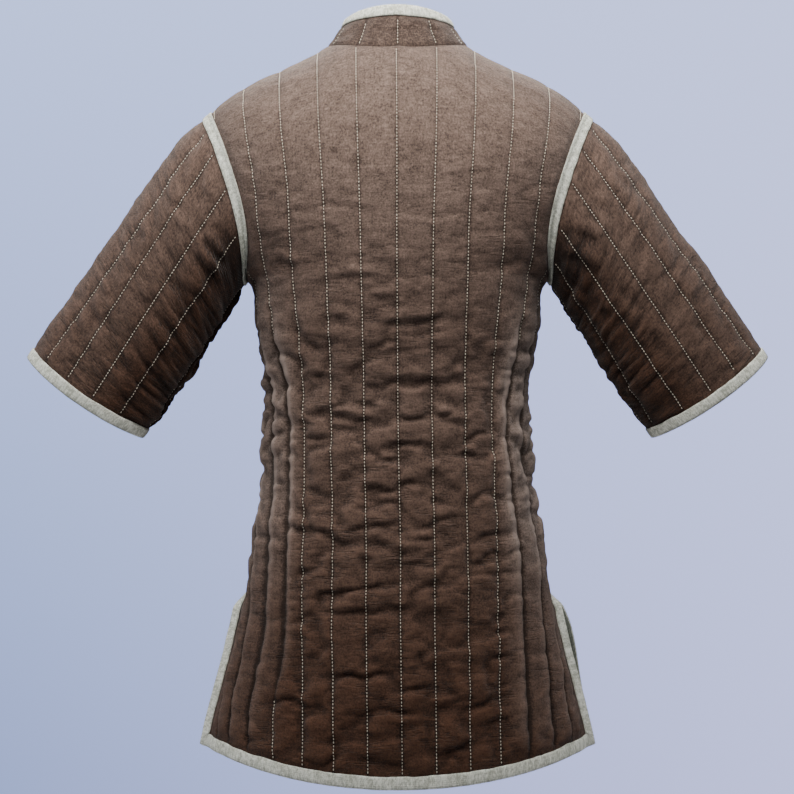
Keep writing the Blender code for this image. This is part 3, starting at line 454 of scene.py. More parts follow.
FRONT_CREASES = (
    (-0.120, -0.300, -0.050, -0.312, 0.0055, 0.0016, 1.0),
    (0.046, -0.318, 0.118, -0.304, 0.0055, 0.0016, 1.0),
    (-0.130, -0.366, -0.084, -0.352, 0.0050, 0.0016, -1.0),
    (0.066, -0.362, 0.126, -0.378, 0.0052, 0.0018, 1.0),
    (-0.120, -0.424, -0.030, -0.433, 0.0060, 0.0021, 1.0),
    (0.030, -0.436, 0.108, -0.425, 0.0060, 0.0020, 1.0),
    (-0.104, -0.474, -0.046, -0.462, 0.0052, 0.0018, -1.0),
    (0.052, -0.480, 0.118, -0.470, 0.0052, 0.0019, 1.0),
    (-0.130, -0.590, -0.060, -0.604, 0.0062, 0.0020, 1.0),
    (0.046, -0.610, 0.130, -0.594, 0.0062, 0.0020, 1.0),
    (-0.090, -0.690, -0.036, -0.676, 0.0078, 0.0015, 1.0),
    (0.040, -0.720, 0.100, -0.734, 0.0078, 0.0015, -1.0),
    (-0.110, -0.780, -0.060, -0.794, 0.0078, 0.0014, 1.0),
)
SLEEVE_CREASES_LEFT = (
    (-0.222, -0.226, -0.199, -0.262, 0.0062, 0.0042, -1.0),
    (-0.236, -0.246, -0.206, -0.280, 0.0060, 0.0030, -1.0),
    (-0.262, -0.250, -0.220, -0.296, 0.0066, 0.0026, 1.0),
    (-0.286, -0.288, -0.236, -0.322, 0.0060, 0.0022, 1.0),
    (-0.246, -0.178, -0.222, -0.206, 0.0052, 0.0022, 1.0),
    (-0.300, -0.330, -0.262, -0.366, 0.0066, 0.0022, -1.0),
    (-0.336, -0.296, -0.304, -0.330, 0.0060, 0.0016, 1.0),
    (-0.356, -0.372, -0.318, -0.410, 0.0062, 0.0017, 1.0),
    (-0.276, -0.196, -0.250, -0.226, 0.0052, 0.0015, -1.0),
    (-0.382, -0.318, -0.360, -0.352, 0.0060, 0.0014, 1.0),
    (-0.328, -0.220, -0.306, -0.246, 0.0052, 0.0012, 1.0),
)
SLEEVE_CREASES_RIGHT = (
    (0.206, -0.232, 0.244, -0.250, 0.0060, 0.0030, 1.0),
    (0.200, -0.262, 0.246, -0.288, 0.0062, 0.0034, 1.0),
    (0.206, -0.286, 0.250, -0.326, 0.0062, 0.0028, -1.0),
    (0.232, -0.316, 0.276, -0.352, 0.0062, 0.0022, 1.0),
    (0.226, -0.196, 0.254, -0.210, 0.0052, 0.0016, 1.0),
    (0.268, -0.300, 0.302, -0.336, 0.0060, 0.0018, -1.0),
    (0.300, -0.352, 0.336, -0.392, 0.0064, 0.0018, 1.0),
    (0.320, -0.286, 0.352, -0.318, 0.0060, 0.0014, 1.0),
    (0.360, -0.340, 0.390, -0.378, 0.0060, 0.0014, -1.0),
    (0.260, -0.160, 0.288, -0.186, 0.0052, 0.0013, 1.0),
    (0.350, -0.250, 0.372, -0.280, 0.0052, 0.0012, 1.0),
)
COLLAR_CREASES = (
    (-0.073, 0.004, -0.050, 0.013, 0.0030, 0.0012, 1.0),
    (-0.034, 0.013, -0.010, 0.007, 0.0028, 0.0011, 1.0),
    (-0.012, 0.007, 0.034, 0.015, 0.0030, 0.0012, 1.0),
    (0.030, 0.015, 0.054, 0.010, 0.0028, 0.0011, 1.0),
)


# ---- helpers for fine cloth --------------------------------------------------
def lattice(i, j, seed):
    """A repeatable number from 0 to 1 for each corner of an endless grid."""
    i = i.astype(np.int64)
    j = j.astype(np.int64)
    h = (i * 374761393 + j * 668265263 + seed * 974634777) & 0xFFFFFFFF
    h = ((h ^ (h >> 13)) * 1274126177) & 0xFFFFFFFF
    h = h ^ (h >> 16)
    return (h & 0xFFFF) / 65535.0


def noise(x, y, seed):
    """Soft random hills from -1 to 1, about one unit across."""
    i = np.floor(x)
    j = np.floor(y)
    u = ramp(x - i)
    w = ramp(y - j)
    low = lattice(i, j, seed) * (1.0 - u) + lattice(i + 1, j, seed) * u
    high = lattice(i, j + 1, seed) * (1.0 - u) + lattice(i + 1, j + 1, seed) * u
    return 2.0 * (low * (1.0 - w) + high * w) - 1.0


def uneven(arc, length, row, seed):
    """Random hills along a line, each about the given length."""
    return noise(arc / length, np.full_like(arc, row), seed)


def crumple(x, y, seed):
    """Two sizes of soft hills together."""
    return 0.65 * noise(x, y, seed) + 0.35 * noise(2.1 * x + 7.3, 2.1 * y + 3.1, seed + 11)


def billow(x, y, seed):
    """Rounded swellings with tighter valleys between them."""
    soft = noise(x, y, seed) + 0.45 * noise(2.0 * x + 1.7, 2.0 * y + 5.2, seed + 3)
    return 0.5 - 1.5 * np.exp(-((soft / 0.42) ** 2)) + 0.3 * soft


def held_up(height):
    """Keeps the deepest troughs from reaching the inner face."""
    return -0.0020 + 0.0004 * np.logaddexp(0.0, (height + 0.0020) / 0.0004)


def crinkles(across, along, seed):
    """Fine troughs that run mostly across the cloth, short and uneven, in patches."""
    total = np.zeros_like(across)
    for n, (long, tall, deep) in enumerate(((0.048, 0.0120, 0.00085), (0.030, 0.0075, 0.00055))):
        bend = 0.5 * noise(across / 0.05, along / 0.03, seed + 31 + n)
        field = noise(across / long, along / tall + bend, seed + 7 * n)
        mask = ramp((noise(across / 0.040, along / 0.026, seed + 13 + n) + 0.25) / 0.6)
        total -= deep * mask * np.exp(-((field / 0.20) ** 2))
    return total


def grid_normals(points, guide=None, closed=False):
    """Unit normals of a grid of points [row, column], on the side of the guide."""
    if closed:
        across = np.roll(points, -1, axis=1) - np.roll(points, 1, axis=1)
    else:
        across = np.gradient(points, axis=1)
    along = np.gradient(points, axis=0)
    normals = unit(np.cross(across, along))
    if guide is not None and np.sum(normals * guide) < 0.0:
        return -normals
    return normals


def crease_relief(table, x, z, seed):
    """Troughs with a soft ridge beside each, laid one by one over the cloth."""
    total = np.zeros_like(x)
    for n, row in enumerate(table):
        x1, z1, x2, z2, width, depth, lean = row
        length = math.hypot(x2 - x1, z2 - z1)
        ux, uz = (x2 - x1) / length, (z2 - z1) / length
        along = ((x - x1) * ux + (z - z1) * uz) / length
        wander = 0.35 * width * uneven(along * length, 0.022, n + 0.5, seed + n)
        off = (-(x - x1) * uz + (z - z1) * ux) + wander
        inside = np.clip(1.0 - np.abs(2.0 * along - 1.0) ** 3, 0.0, 1.0) * (np.abs(along - 0.5) < 0.5)
        fade = inside * (0.8 + 0.2 * uneven(along * length, 0.015, n, seed + n))
        trough = -np.exp(-((off / width) ** 2))
        ridge = 0.75 * np.exp(-(((off - lean * 1.9 * width) / (1.3 * width)) ** 2))
        total += depth * fade * (trough + ridge)
    return total


# ---- fine grids of the torso -------------------------------------------------
drift_at = {n: curve(DRIFT_COLUMNS, DRIFT, n) for n in DRIFT_COLUMNS[1:]}


def drift(face, side, q, v):
    """Stray of a stitch line along half a panel, outwards from the middle."""
    if face == "front":
        return np.zeros_like(q)
    outer = drift_at["near"](v) * np.minimum(q, 1.0) + drift_at["outer"](v) * ramp((q - 2.0) / 2.0)
    return outer + side * drift_at["all"](v)


def fine_rows(face, count):
    """Heights along the side edge of a panel, and its cloth reach there."""
    v = np.linspace(HEM_SIDE[face], ROLL_Z + ROLL_V, count)
    climb = np.sin(0.5 * math.pi * np.clip((v - ROLL_Z) / ROLL_V, 0.0, 1.0))
    z = v.copy()
    for _ in range(30):
        z = np.where(v > ROLL_Z, ROLL_Z + (shoulder_z(armhole_x(z)) - ROLL_Z) * climb, v)
    return v, z


def fine_half(face, side, columns, count, crowd=0.58):
    """Places over half a panel: cloth length a, cloth height v, channel count q."""
    v_side, z_side = fine_rows(face, count)
    edge = reach(face, np.full(count, side), z_side)
    first = FRONT_START if face == "front" else 0.0
    q_edge = edge / pitch_at(v_side)
    q_first = first / pitch_at(v_side)
    p = np.linspace(0.0, 1.0, columns)
    u = q_first[:, None] + p * (q_edge - q_first)[:, None]
    fade = ramp((q_edge[:, None] - u) / 0.5) * ramp((u - q_first[:, None]) / 0.3)
    q = u - crowd * fade * np.sin(2.0 * math.pi * u) / (2.0 * math.pi)
    corner = HEM_SIDE[face] + BIND_W
    top = ROLL_Z + ROLL_V
    share = ((v_side - corner) / (top - corner))[:, None]
    rise = (v_side - HEM_SIDE[face])[:, None]
    v = np.broadcast_to(v_side[:, None], q.shape).copy()
    keep = ramp((q_edge[:, None] - q) / 0.9)
    for _ in range(6):
        a = q * pitch_at(v) + keep * drift(face, side, q, v)
        a[:, -1] = edge
        if face == "front":
            a[:, 0] = first
        f = np.minimum(a / edge[:, None], 1.0)
        low = hem_v(face, f)
        at_top = top_v(face, a / pitch_at(v))
        level = low + BIND_W + share * (top - low - BIND_W) - (top - at_top) * np.abs(share) ** 5
        v = np.where(share < 0.0, low + rise, level)
    shape = q.shape
    base = torso(face, side * a.ravel(), v.ravel()).reshape(shape + (3,))
    low = hem_v(face, f)
    return {
        "base": base, "a": a, "v": v, "q": q, "side": side,
        "to_side": edge[:, None] - a,
        "to_hem": v - low,
        "to_top": at_top - v,
        "z_side": np.broadcast_to(z_side[:, None], shape),
    }


def whole_panel(*halves):
    """The grid of a panel, left edge first, from its left half, its right half or both."""
    whole = {}
    for key in ("base", "a", "v", "q", "to_side", "to_hem", "to_top", "z_side"):
        runs = []
        for half in halves:
            data = half[key]
            if half["side"] < 0.0:
                data = -data[:, ::-1] if key in ("a", "q") else data[:, ::-1]
            runs.append(data)
        if len(runs) == 2:
            runs[0] = runs[0][:, :-1]
        whole[key] = np.concatenate(runs, axis=1)
    return whole


def flat_width(z_side):
    """Width kept flat beside the side edge: seam, slit tape or armhole tape."""
    band = BAND_TIP + (BAND_W - BAND_TIP) * ramp((z_side - ARM_LOW) / 0.05)
    wide = np.where(z_side > ARM_LOW, band, SEAM_W)
    return np.where(z_side < SLIT_TOP, BIND_W, wide)


def torso_relief(face, grid):
    """Height of the cloth above its stitched surface, distance to the nearest stitch
    line, share of side ridge, and how near a ridge's outer edge is."""
    q = grid["q"]
    v = grid["v"]
    aq = np.abs(q)
    s = grid["a"]
    x = grid["base"][..., 0]
    z = grid["base"][..., 2]
    seed = 3 if face == "back" else 51
    ease = ramp((grid["to_side"] - flat_width(grid["z_side"])) / 0.011)
    ease = ease * ramp((grid["to_hem"] - BIND_W) / 0.012) * ramp(grid["to_top"] / 0.010)
    slit = ramp((SLIT_TOP + 0.04 - v) / 0.03)
    ease = ease * (1.0 - slit * (1.0 - 0.30 - 0.70 * ramp((grid["to_side"] - BIND_W) / 0.034)))
    if face == "front":
        ease = ease * ramp((np.abs(s) - BIND_W - 0.002) / 0.011)
    # The ridges at the sides begin about three channels from the middle.
    first = 2.95 + np.where(q < 0.0, 0.95 * ramp((-0.735 - v) / 0.06), 0.0)
    fold = ramp((aq - first) / 0.65) * ramp((-0.31 - v) / 0.09) * ramp((v + 0.868) / 0.05)
    # Lines wander a little at the sides, where the cloth gathers into ridges.
    line = np.round(q)
    wander = 0.050 * noise(v / 0.030, line + 0.5, seed + 1) * ramp((aq - 3.7) / 0.8)
    qq = q + wander * ramp((-0.29 - v) / 0.08)
    # They are closer together at the waist, more of them on the left.
    waist = np.where(q > 0.0, np.exp(-(((v + 0.488) / 0.080) ** 2)),
                     0.85 * ramp((-0.36 - v) / 0.08) * ramp((v + 0.81) / 0.10))
    gather = waist * (0.42 * ramp((aq - 3.0) / 0.57) + 0.22 * ramp((aq - 3.57) / 0.75))
    qq = qq + gather * np.sign(q)
    near = np.abs(qq - np.round(qq)) * pitch_at(v)
    cell = np.floor(qq)
    flat_pad = 1.0 - np.exp(-near / 0.0052)
    # Pads at the sides lean outwards, so that each hides the seam beyond it.
    phase = np.abs(qq) - np.floor(np.abs(qq))
    dome = (1.0 - np.exp(-phase / 0.30)) * (1.0 - np.exp(-(1.0 - phase) / 0.085))
    low_pad = 0.0017 + 0.0010 * ramp((-0.25 - v) / 0.12)
    low_pad = low_pad * (1.0 + 0.25 * noise(v / 0.055, cell + 0.37, seed + 2))
    knots = 0.5 + 0.5 * noise(v / 0.030, cell * 1.7 + 0.2, seed + 3)
    swell = 0.74 + 0.74 * knots ** 1.5 + 0.18 * noise(v / 0.013, cell * 2.3, seed + 4)
    # Below the waist the ridges run calmer and straighter.
    calm = ramp((-0.52 - v) / 0.14)
    swell = swell * (1.0 - 0.70 * calm) + 0.62 * calm
    dents = noise(v / 0.026, cell * 3.1, seed + 14)
    swell = swell - (0.46 - 0.36 * calm) * np.exp(-((dents / 0.20) ** 2))
    crest = (PUFF + SIDE_PUFF) * (0.74 - 0.16 * np.exp(-(((aq - 4.5) / 0.6) ** 2)))
    tall = low_pad * flat_pad * (1.0 - fold) + fold * crest * dome * swell
    tall = tall - 0.0020 * fold * np.exp(-((near / 0.0026) ** 2))
    # Shallow dimples and puckers beside each seam, and slow hills over the body.
    body = 0.30 * ramp((-0.08 - v) / 0.14) + 0.70 * ramp((-0.31 - v) / 0.11)
    tight = np.exp(-((near / 0.0075) ** 2))
    lively = 0.42 + 0.58 * body
    pucker = 0.0015 * noise(s / 0.024, v / 0.0085, seed + 5) * tight * lively
    pucker += 0.0016 * crumple(s / 0.026, v / 0.015 + 0.4 * s / 0.03, seed + 6) * lively
    hills = 0.0014 * noise(s / 0.070, v / 0.055, seed + 7) * body
    hills += 0.0031 * billow(s / 0.038 + 3.0 * v, v / 0.024 - 4.0 * s, seed + 8) * body
    wrinkles = 1.5 * crinkles(s, v, seed + 9) * (0.06 + 0.94 * body)
    table = BACK_CREASES if face == "back" else FRONT_CREASES
    creases = (1.2 + 0.8 * body) * crease_relief(table, x, z, seed + 20) + wrinkles
    edge = fold * np.exp(-(((phase - 0.80) / 0.15) ** 2))
    quiet = 1.0 - 0.62 * fold * calm
    return ease * held_up(tall + quiet * (pucker + hills + creases)), near, fold, edge


def place_stitches(path, normals, lift):
    """Short rounded stitches along a seam; returns points and faces."""
    arc = arc_of(path)
    count = int((arc[-1] - 0.002) / STITCH)
    verts, faces = [], []
    if count < 1:
        return verts, faces
    starts = 0.001 + (np.arange(count) + 0.15) * STITCH
    jitter = lattice(np.arange(count), np.full(count, int(arc[-1] * 1e5) % 977), 5) - 0.5
    starts = starts + 0.12 * STITCH * jitter
    marks = starts[:, None] + STITCH_LONG * np.array([0.0, 0.22, 0.78, 1.0])
    rise = np.array([-0.00045, lift, lift, -0.00045])
    where = np.stack([np.interp(marks, arc, path[:, i]) for i in range(3)], axis=-1)
    norm = unit(np.stack([np.interp(marks, arc, normals[:, i]) for i in range(3)], axis=-1))
    where = where + norm * rise[:, None]
    heading = unit(where[:, 3] - where[:, 0])
    across = unit(np.cross(heading, norm[:, 1]))
    turn = np.linspace(0.0, 2.0 * math.pi, 6)[:-1]
    for n in range(count):
        ring = [THREAD_R * (across[n] * math.cos(a) * 1.15 + norm[n, 1] * math.sin(a)) for a in turn]
        base = len(verts)
        verts.append(where[n, 0])
        verts += [where[n, 1] + r for r in ring]
        verts += [where[n, 2] + r for r in ring]
        verts.append(where[n, 3])
        for i in range(5):
            j = (i + 1) % 5
            faces.append((base, base + 1 + j, base + 1 + i))
            faces.append((base + 1 + i, base + 1 + j, base + 6 + j, base + 6 + i))
            faces.append((base + 11, base + 6 + i, base + 6 + j))
    return verts, faces


# ---- meshes ------------------------------------------------------------------
def make_piece(name, verts, faces, materials, nodes,
               cloth=None, tone=None, marks=None, painted_light=None):
    """A named object in the frame, riding on it and standing for its CAD nodes."""
    mesh = bpy.data.meshes.new(name + "_mesh")
    mesh.from_pydata([], [], [])
    verts = np.asarray(verts, np.float32)
    sizes = np.array([len(f) for f in faces], np.int32)
    loops = np.fromiter((i for f in faces for i in f), np.int32, int(sizes.sum()))
    mesh.vertices.add(len(verts))
    mesh.vertices.foreach_set("co", verts.ravel())
    mesh.loops.add(len(loops))
    mesh.loops.foreach_set("vertex_index", loops)
    mesh.polygons.add(len(sizes))
    starts = np.concatenate([[0], np.cumsum(sizes)[:-1]])
    mesh.polygons.foreach_set("loop_start", starts.astype(np.int32))
    if marks is not None:
        mesh.polygons.foreach_set("material_index", np.asarray(marks, np.int32))
    mesh.update(calc_edges=True)
    mesh.validate()
    mesh.shade_smooth()
    if cloth is not None:
        layer = mesh.attributes.new("cloth", "FLOAT_VECTOR", "POINT")
        layer.data.foreach_set("vector", np.asarray(cloth, np.float32).ravel())
    # These attributes carry painted shade, painted highlights and painted light for the cloth looks.
    if tone is not None:
        layer = mesh.attributes.new("tone", "FLOAT", "POINT")
        layer.data.foreach_set("value", np.asarray(tone, np.float32).ravel())
        painted_light = np.full(len(verts), 0.5) if painted_light is None else painted_light
        layer = mesh.attributes.new("painted_light", "FLOAT", "POINT")
        layer.data.foreach_set("value", np.asarray(painted_light, np.float32).ravel())
    for material in materials:
        mesh.materials.append(material)
    thing = bpy.data.objects.new(name, mesh)
    bpy.context.scene.collection.objects.link(thing)
    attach(thing, "root")
    if nodes:
        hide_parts(*nodes)


def on_line(line, counts, grid):
    """Values of a grid where the channel count is the line's, one set from each row."""
    return np.array([[np.interp(line, counts, row[:, i]) for i in range(grid.shape[2])]
                     for row in grid])


def sew(name, lines, lift):
    """Stitches of a piece; each line is given as points, normals and where it shows."""
    verts, faces = [], []
    for path, normals, inside in lines:
        marks = np.flatnonzero(np.diff(np.concatenate([[0], inside.astype(int), [0]])))
        for first, last in zip(marks[::2], marks[1::2]):
            if last - first < 4:
                continue
            v, f = place_stitches(path[first:last], normals[first:last], lift)
            faces += [tuple(i + len(verts) for i in face) for face in f]
            verts += v
    make_piece(name, verts, faces, [THREAD_LOOK], [],
               np.array(verts), np.full(len(verts), 0.5))


def grid_faces(rows, columns, start=0, closed=False, flip=False):
    """Quads of a grid whose first vertex is start; a closed grid goes all the way round."""
    r = np.arange(rows - 1)[:, None]
    c = np.arange(columns if closed else columns - 1)[None, :]
    n = (c + 1) % columns
    here, above = r * columns, (r + 1) * columns
    quads = np.stack([here + c, here + n, above + n, above + c], axis=-1).reshape(-1, 4) + start
    return quads[:, ::-1] if flip else quads


def rim_faces(outer, inner, step):
    """Faces between a fine outer rim and a coarse inner rim, step times sparser."""
    faces = []
    for k in range(len(inner) - 1):
        fine = outer[k * step:(k + 1) * step + 1]
        half = len(fine) // 2
        for i in range(len(fine) - 1):
            pivot = inner[k] if i < half else inner[k + 1]
            faces.append((fine[i], fine[i + 1], pivot))
            if i == half - 1:
                faces.append((fine[i + 1], inner[k + 1], inner[k]))
    return faces


def painted_top_light(points, normals):
    """Share of painted light from above: most on the shoulders, least at the hem and under the arms,
    where faces turned downwards get painted shade.
    """
    height = np.clip((points[..., 2] + 0.90) / 0.86, 0.0, 1.0)
    tilt = normals[..., 2]
    return np.clip(0.66 * height ** 0.95 + np.where(tilt > 0.0, -0.16, 0.50) * tilt, 0.0, 1.0)


def hollows(height, reach=8):
    """Shade for the cloth: darker in its creases, lighter on its puffs."""
    wide = np.arange(-reach, reach + 1)
    weights = np.exp(-(2.0 * wide / reach) ** 2)
    weights = weights / np.sum(weights)
    padded = np.pad(height, reach, mode="edge")
    rows = sum(w * padded[i:i + height.shape[0]] for i, w in enumerate(weights))
    level = sum(w * rows[:, i:i + height.shape[1]] for i, w in enumerate(weights))
    return 0.17 * np.tanh((height - level) / 0.00095)


def padded_wall(name, outer, inner, normals, cloth, tone, painted_light, stands_for, closed=False):
    """Closed wall: fine outer grid, plain inner grid of every fourth point, joined at the rims."""
    step = 4
    rows, columns = outer.shape[:2]
    corner = outer[:-1, :-1]
    turned = np.cross(outer[:-1, 1:] - corner, outer[1:, :-1] - corner)
    flip = bool(np.sum(turned * normals[:-1, :-1]) < 0.0)
    pick_r = np.arange(0, rows, step)
    pick_c = np.arange(0, columns, step)
    low = inner[np.ix_(pick_r, pick_c)]
    n_out = rows * columns
    verts = np.concatenate([outer.reshape(-1, 3), low.reshape(-1, 3)])
    wide = len(pick_c)
    f_out = grid_faces(rows, columns, 0, closed, flip)
    f_in = grid_faces(len(pick_r), wide, n_out, closed, not flip)
    ids = np.arange(n_out).reshape(rows, columns)
    ins = n_out + np.arange(len(pick_r) * wide).reshape(len(pick_r), wide)
    rims = []
    for r_out, r_in, turn in ((ids[0], ins[0], True), (ids[-1], ins[-1], False)):
        a, b = list(r_out), list(r_in)
        if closed:
            a, b = a + a[:1], b + b[:1]
        rims.append((rim_faces(a, b, step), turn))
    if not closed:
        rims.append((rim_faces(list(ids[:, 0]), list(ins[:, 0]), step), False))
        rims.append((rim_faces(list(ids[:, -1]), list(ins[:, -1]), step), True))
    faces = [tuple(f) for f in f_out] + [tuple(f) for f in f_in]
    marks = [0] * len(f_out) + [1] * len(f_in)
    for part, turn in rims:
        turn = turn != flip
        faces += [f[::-1] if turn else f for f in part]
        marks += [1] * len(part)
    picked = np.ix_(pick_r, pick_c)
    make_piece(
        name, verts, faces, [LINEN_LOOK, LINING_LOOK], [stands_for],
        np.concatenate([cloth.reshape(-1, 3), cloth[picked].reshape(-1, 3)]),
        np.concatenate([tone.ravel(), np.full(low.shape[0] * low.shape[1], 0.5)]), marks,
        np.concatenate([painted_light.ravel(), painted_light[picked].ravel()]))


# ---- materials ---------------------------------------------------------------
def node(tree, kind, inputs=(), **settings):
    """A new node; each input is a pair of its key and a value or a socket."""
    made = tree.nodes.new(kind)
    for key, value in settings.items():
        setattr(made, key, value)
    for key, value in inputs:
        if isinstance(value, bpy.types.NodeSocket):
            tree.links.new(value, made.inputs[key])
        else:
            made.inputs[key].default_value = value
    return made


def calc(tree, operation, a, b=0.0, c=0.0):
    """Result of one math node."""
    return node(tree, "ShaderNodeMath", ((0, a), (1, b), (2, c)), operation=operation).outputs[0]


def scaled(tree, vector, size):
    """The vector times the size, axis by axis."""
    inputs = ((0, vector), (1, size))
    return node(tree, "ShaderNodeVectorMath", inputs, operation="MULTIPLY").outputs[0]


def grain(tree, vector, size, detail=2.0, rough=0.55):
    """Noise from 0 to 1 with its own size along each cloth axis, in grains a metre."""
    made = node(tree, "ShaderNodeTexNoise", (("Vector", scaled(tree, vector, size)), ("Scale", 1.0),
                                             ("Detail", detail), ("Roughness", rough)))
    return made.outputs["Fac"]


def blend(tree, share, one, two):
    """Colour between one and two."""
    inputs = ((0, share), (6, one), (7, two))
    return node(tree, "ShaderNodeMix", inputs, data_type="RGBA").outputs[2]


def weave_height(tree, vector, thread):
    """Plain weave: threads of the two directions pass over each other in turn."""
    turns = scaled(tree, vector, (math.pi / thread,) * 3)
    parts = node(tree, "ShaderNodeSeparateXYZ", (("Vector", turns),))
    across = calc(tree, "SINE", parts.outputs[0])
    along = calc(tree, "SINE", parts.outputs[1])
    turn = calc(tree, "MULTIPLY", across, along)
    over = calc(tree, "GREATER_THAN", turn, 0.0)
    one = calc(tree, "ABSOLUTE", across)
    two = calc(tree, "ABSOLUTE", along)
    low = calc(tree, "MULTIPLY", two, calc(tree, "SUBTRACT", 1.0, over))
    return calc(tree, "MULTIPLY_ADD", one, over, low)


def spread(tree, value, low, high, *ends):
    """The value's way from low to high, as 0 to 1 or between the two ends."""
    inputs = [("Value", value), ("From Min", low), ("From Max", high)]
    if ends:
        inputs += [("To Min", ends[0]), ("To Max", ends[1])]
    return node(tree, "ShaderNodeMapRange", inputs).outputs[0]


def cloth_material(name, deep, lit_colours, thread, slub, mottle, crinkle, rough, bump, sheen, tone_gain):
    """Woven cloth: uneven threads both ways, mottling, fine crinkles, weave in relief.

    The first colour set is the shaded copy and the second the lit copy of the yarn, each holding its
    dark, its light and its fleck colour; painted light blends between the two copies."""
    material = bpy.data.materials.new(name)
    material.use_nodes = True
    tree = material.node_tree
    shader = tree.nodes["Principled BSDF"]
    cloth = node(tree, "ShaderNodeAttribute", attribute_name="cloth").outputs["Vector"]
    tone = node(tree, "ShaderNodeAttribute", attribute_name="tone").outputs["Fac"]
    painted_light = node(tree, "ShaderNodeAttribute", attribute_name="painted_light").outputs["Fac"]
    fine = 0.8 / thread
    weft = grain(tree, cloth, (0.16 * fine, 0.60 * fine, 9.0), 3.0, 0.7)
    warp = grain(tree, cloth, (0.60 * fine, 0.16 * fine, 9.0), 3.0, 0.7)
    slubs = grain(tree, cloth, (0.15 * fine, 0.50 * fine, 9.0), 2.0)
    heather = grain(tree, cloth, (0.7 * fine, 0.7 * fine, 9.0), 2.0, 0.7)
    patch = grain(tree, cloth, (30.0, 44.0, 9.0), 4.0, 0.62)
    blotch = grain(tree, cloth, (110.0, 140.0, 9.0), 3.0, 0.6)
    threads = weave_height(tree, cloth, thread)
    total = 0.5
    # The tone attribute adds painted shade and painted highlights to the noise of the yarn.
    for part, middle, gain in (
            (weft, 0.5, 0.65 * slub), (warp, 0.5, 0.65 * slub), (slubs, 0.5, 0.25 * slub),
            (heather, 0.5, 2.0 * slub), (patch, 0.5, 0.8 * mottle), (blotch, 0.5, 0.9 * mottle),
            (threads, 0.6, 0.30), (tone, 0.5, tone_gain)):
        total = calc(tree, "MULTIPLY_ADD", calc(tree, "SUBTRACT", part, middle), gain, total)
    # Fine crinkles: thin uneven lines, mostly across the cloth, in patches, fainter where the painted
    # light is strong.
    field = grain(tree, cloth, (17.0, 105.0, 9.0), 3.0, 0.55)
    line = calc(tree, "ABSOLUTE", calc(tree, "SUBTRACT", field, 0.5))
    line = spread(tree, line, 0.030, 0.0)
    where = grain(tree, cloth, (21.0, 33.0, 4.0), 2.0)
    line = calc(tree, "MULTIPLY", line, spread(tree, where, 0.45, 0.62))
    line = calc(tree, "MULTIPLY", line, spread(tree, painted_light, 0.60, 0.20))
    total = calc(tree, "MULTIPLY_ADD", line, -0.15 * crinkle, total)
    shade = node(tree, "ShaderNodeClamp", (("Value", total),)).outputs[0]
    flecks = calc(tree, "MULTIPLY", spread(tree, weft, 0.60, 0.78), 0.5)
    # Painted light: the shaded copy of the colours where the painted light share is low, the lit copy
    # where it is high.
    looks = []
    for colours in (deep, lit_colours):
        dark, light, pale = [(*colour, 1.0) for colour in colours]
        looks.append(blend(tree, flecks, blend(tree, shade, dark, light), pale))
    tree.links.new(blend(tree, painted_light, *looks), shader.inputs["Base Color"])
    gloss = calc(tree, "MULTIPLY_ADD", heather, 0.14, rough - 0.07)
    tree.links.new(gloss, shader.inputs["Roughness"])
    relief = calc(tree, "MULTIPLY_ADD", weft, 0.9, threads)
    relief = calc(tree, "MULTIPLY_ADD", warp, 0.5, relief)
    made = node(tree, "ShaderNodeBump", (("Strength", bump), ("Distance", 0.0005),
                                         ("Height", relief)))
    slow = calc(tree, "MULTIPLY_ADD", line, -crinkle, calc(tree, "MULTIPLY", blotch, 0.9 * mottle))
    made = node(tree, "ShaderNodeBump", (("Strength", 0.9), ("Distance", 0.0014), ("Height", slow),
                                         ("Normal", made.outputs[0])))
    tree.links.new(made.outputs[0], shader.inputs["Normal"])
    shader.inputs["Sheen Weight"].default_value = sheen
    shader.inputs["Sheen Roughness"].default_value = 0.45
    shader.inputs["Specular IOR Level"].default_value = 0.25
    return material


# In each look the first colour set is the shaded copy and the second the lit copy, blended by painted
# light.
LINEN_LOOK = cloth_material(
    "brown_linen", ((0.012, 0.0043, 0.0018), (0.085, 0.0365, 0.0185), (0.155, 0.088, 0.056)),
    ((0.055, 0.036, 0.027), (0.254, 0.194, 0.164), (0.395, 0.325, 0.280)),
    thread=0.00125, slub=1.0, mottle=1.0, crinkle=1.0, rough=0.88,
    bump=0.60, sheen=0.08, tone_gain=1.2)
LINING_LOOK = cloth_material(
    "natural_linen", ((0.230, 0.195, 0.145), (0.410, 0.365, 0.290), (0.500, 0.460, 0.380)),
    ((0.270, 0.235, 0.185), (0.450, 0.405, 0.330), (0.540, 0.500, 0.420)),
    thread=0.00115, slub=0.8, mottle=0.4, crinkle=0.3, rough=0.90,
    bump=0.50, sheen=0.10, tone_gain=0.6)
TAPE_LOOK = cloth_material(
    "cream_tape", ((0.420, 0.430, 0.350), (0.820, 0.830, 0.740), (0.900, 0.900, 0.830)),
    ((0.440, 0.450, 0.370), (0.840, 0.850, 0.760), (0.920, 0.920, 0.850)),
    thread=0.00125, slub=1.6, mottle=2.3, crinkle=0.0, rough=0.88,
    bump=0.90, sheen=0.08, tone_gain=0.5)
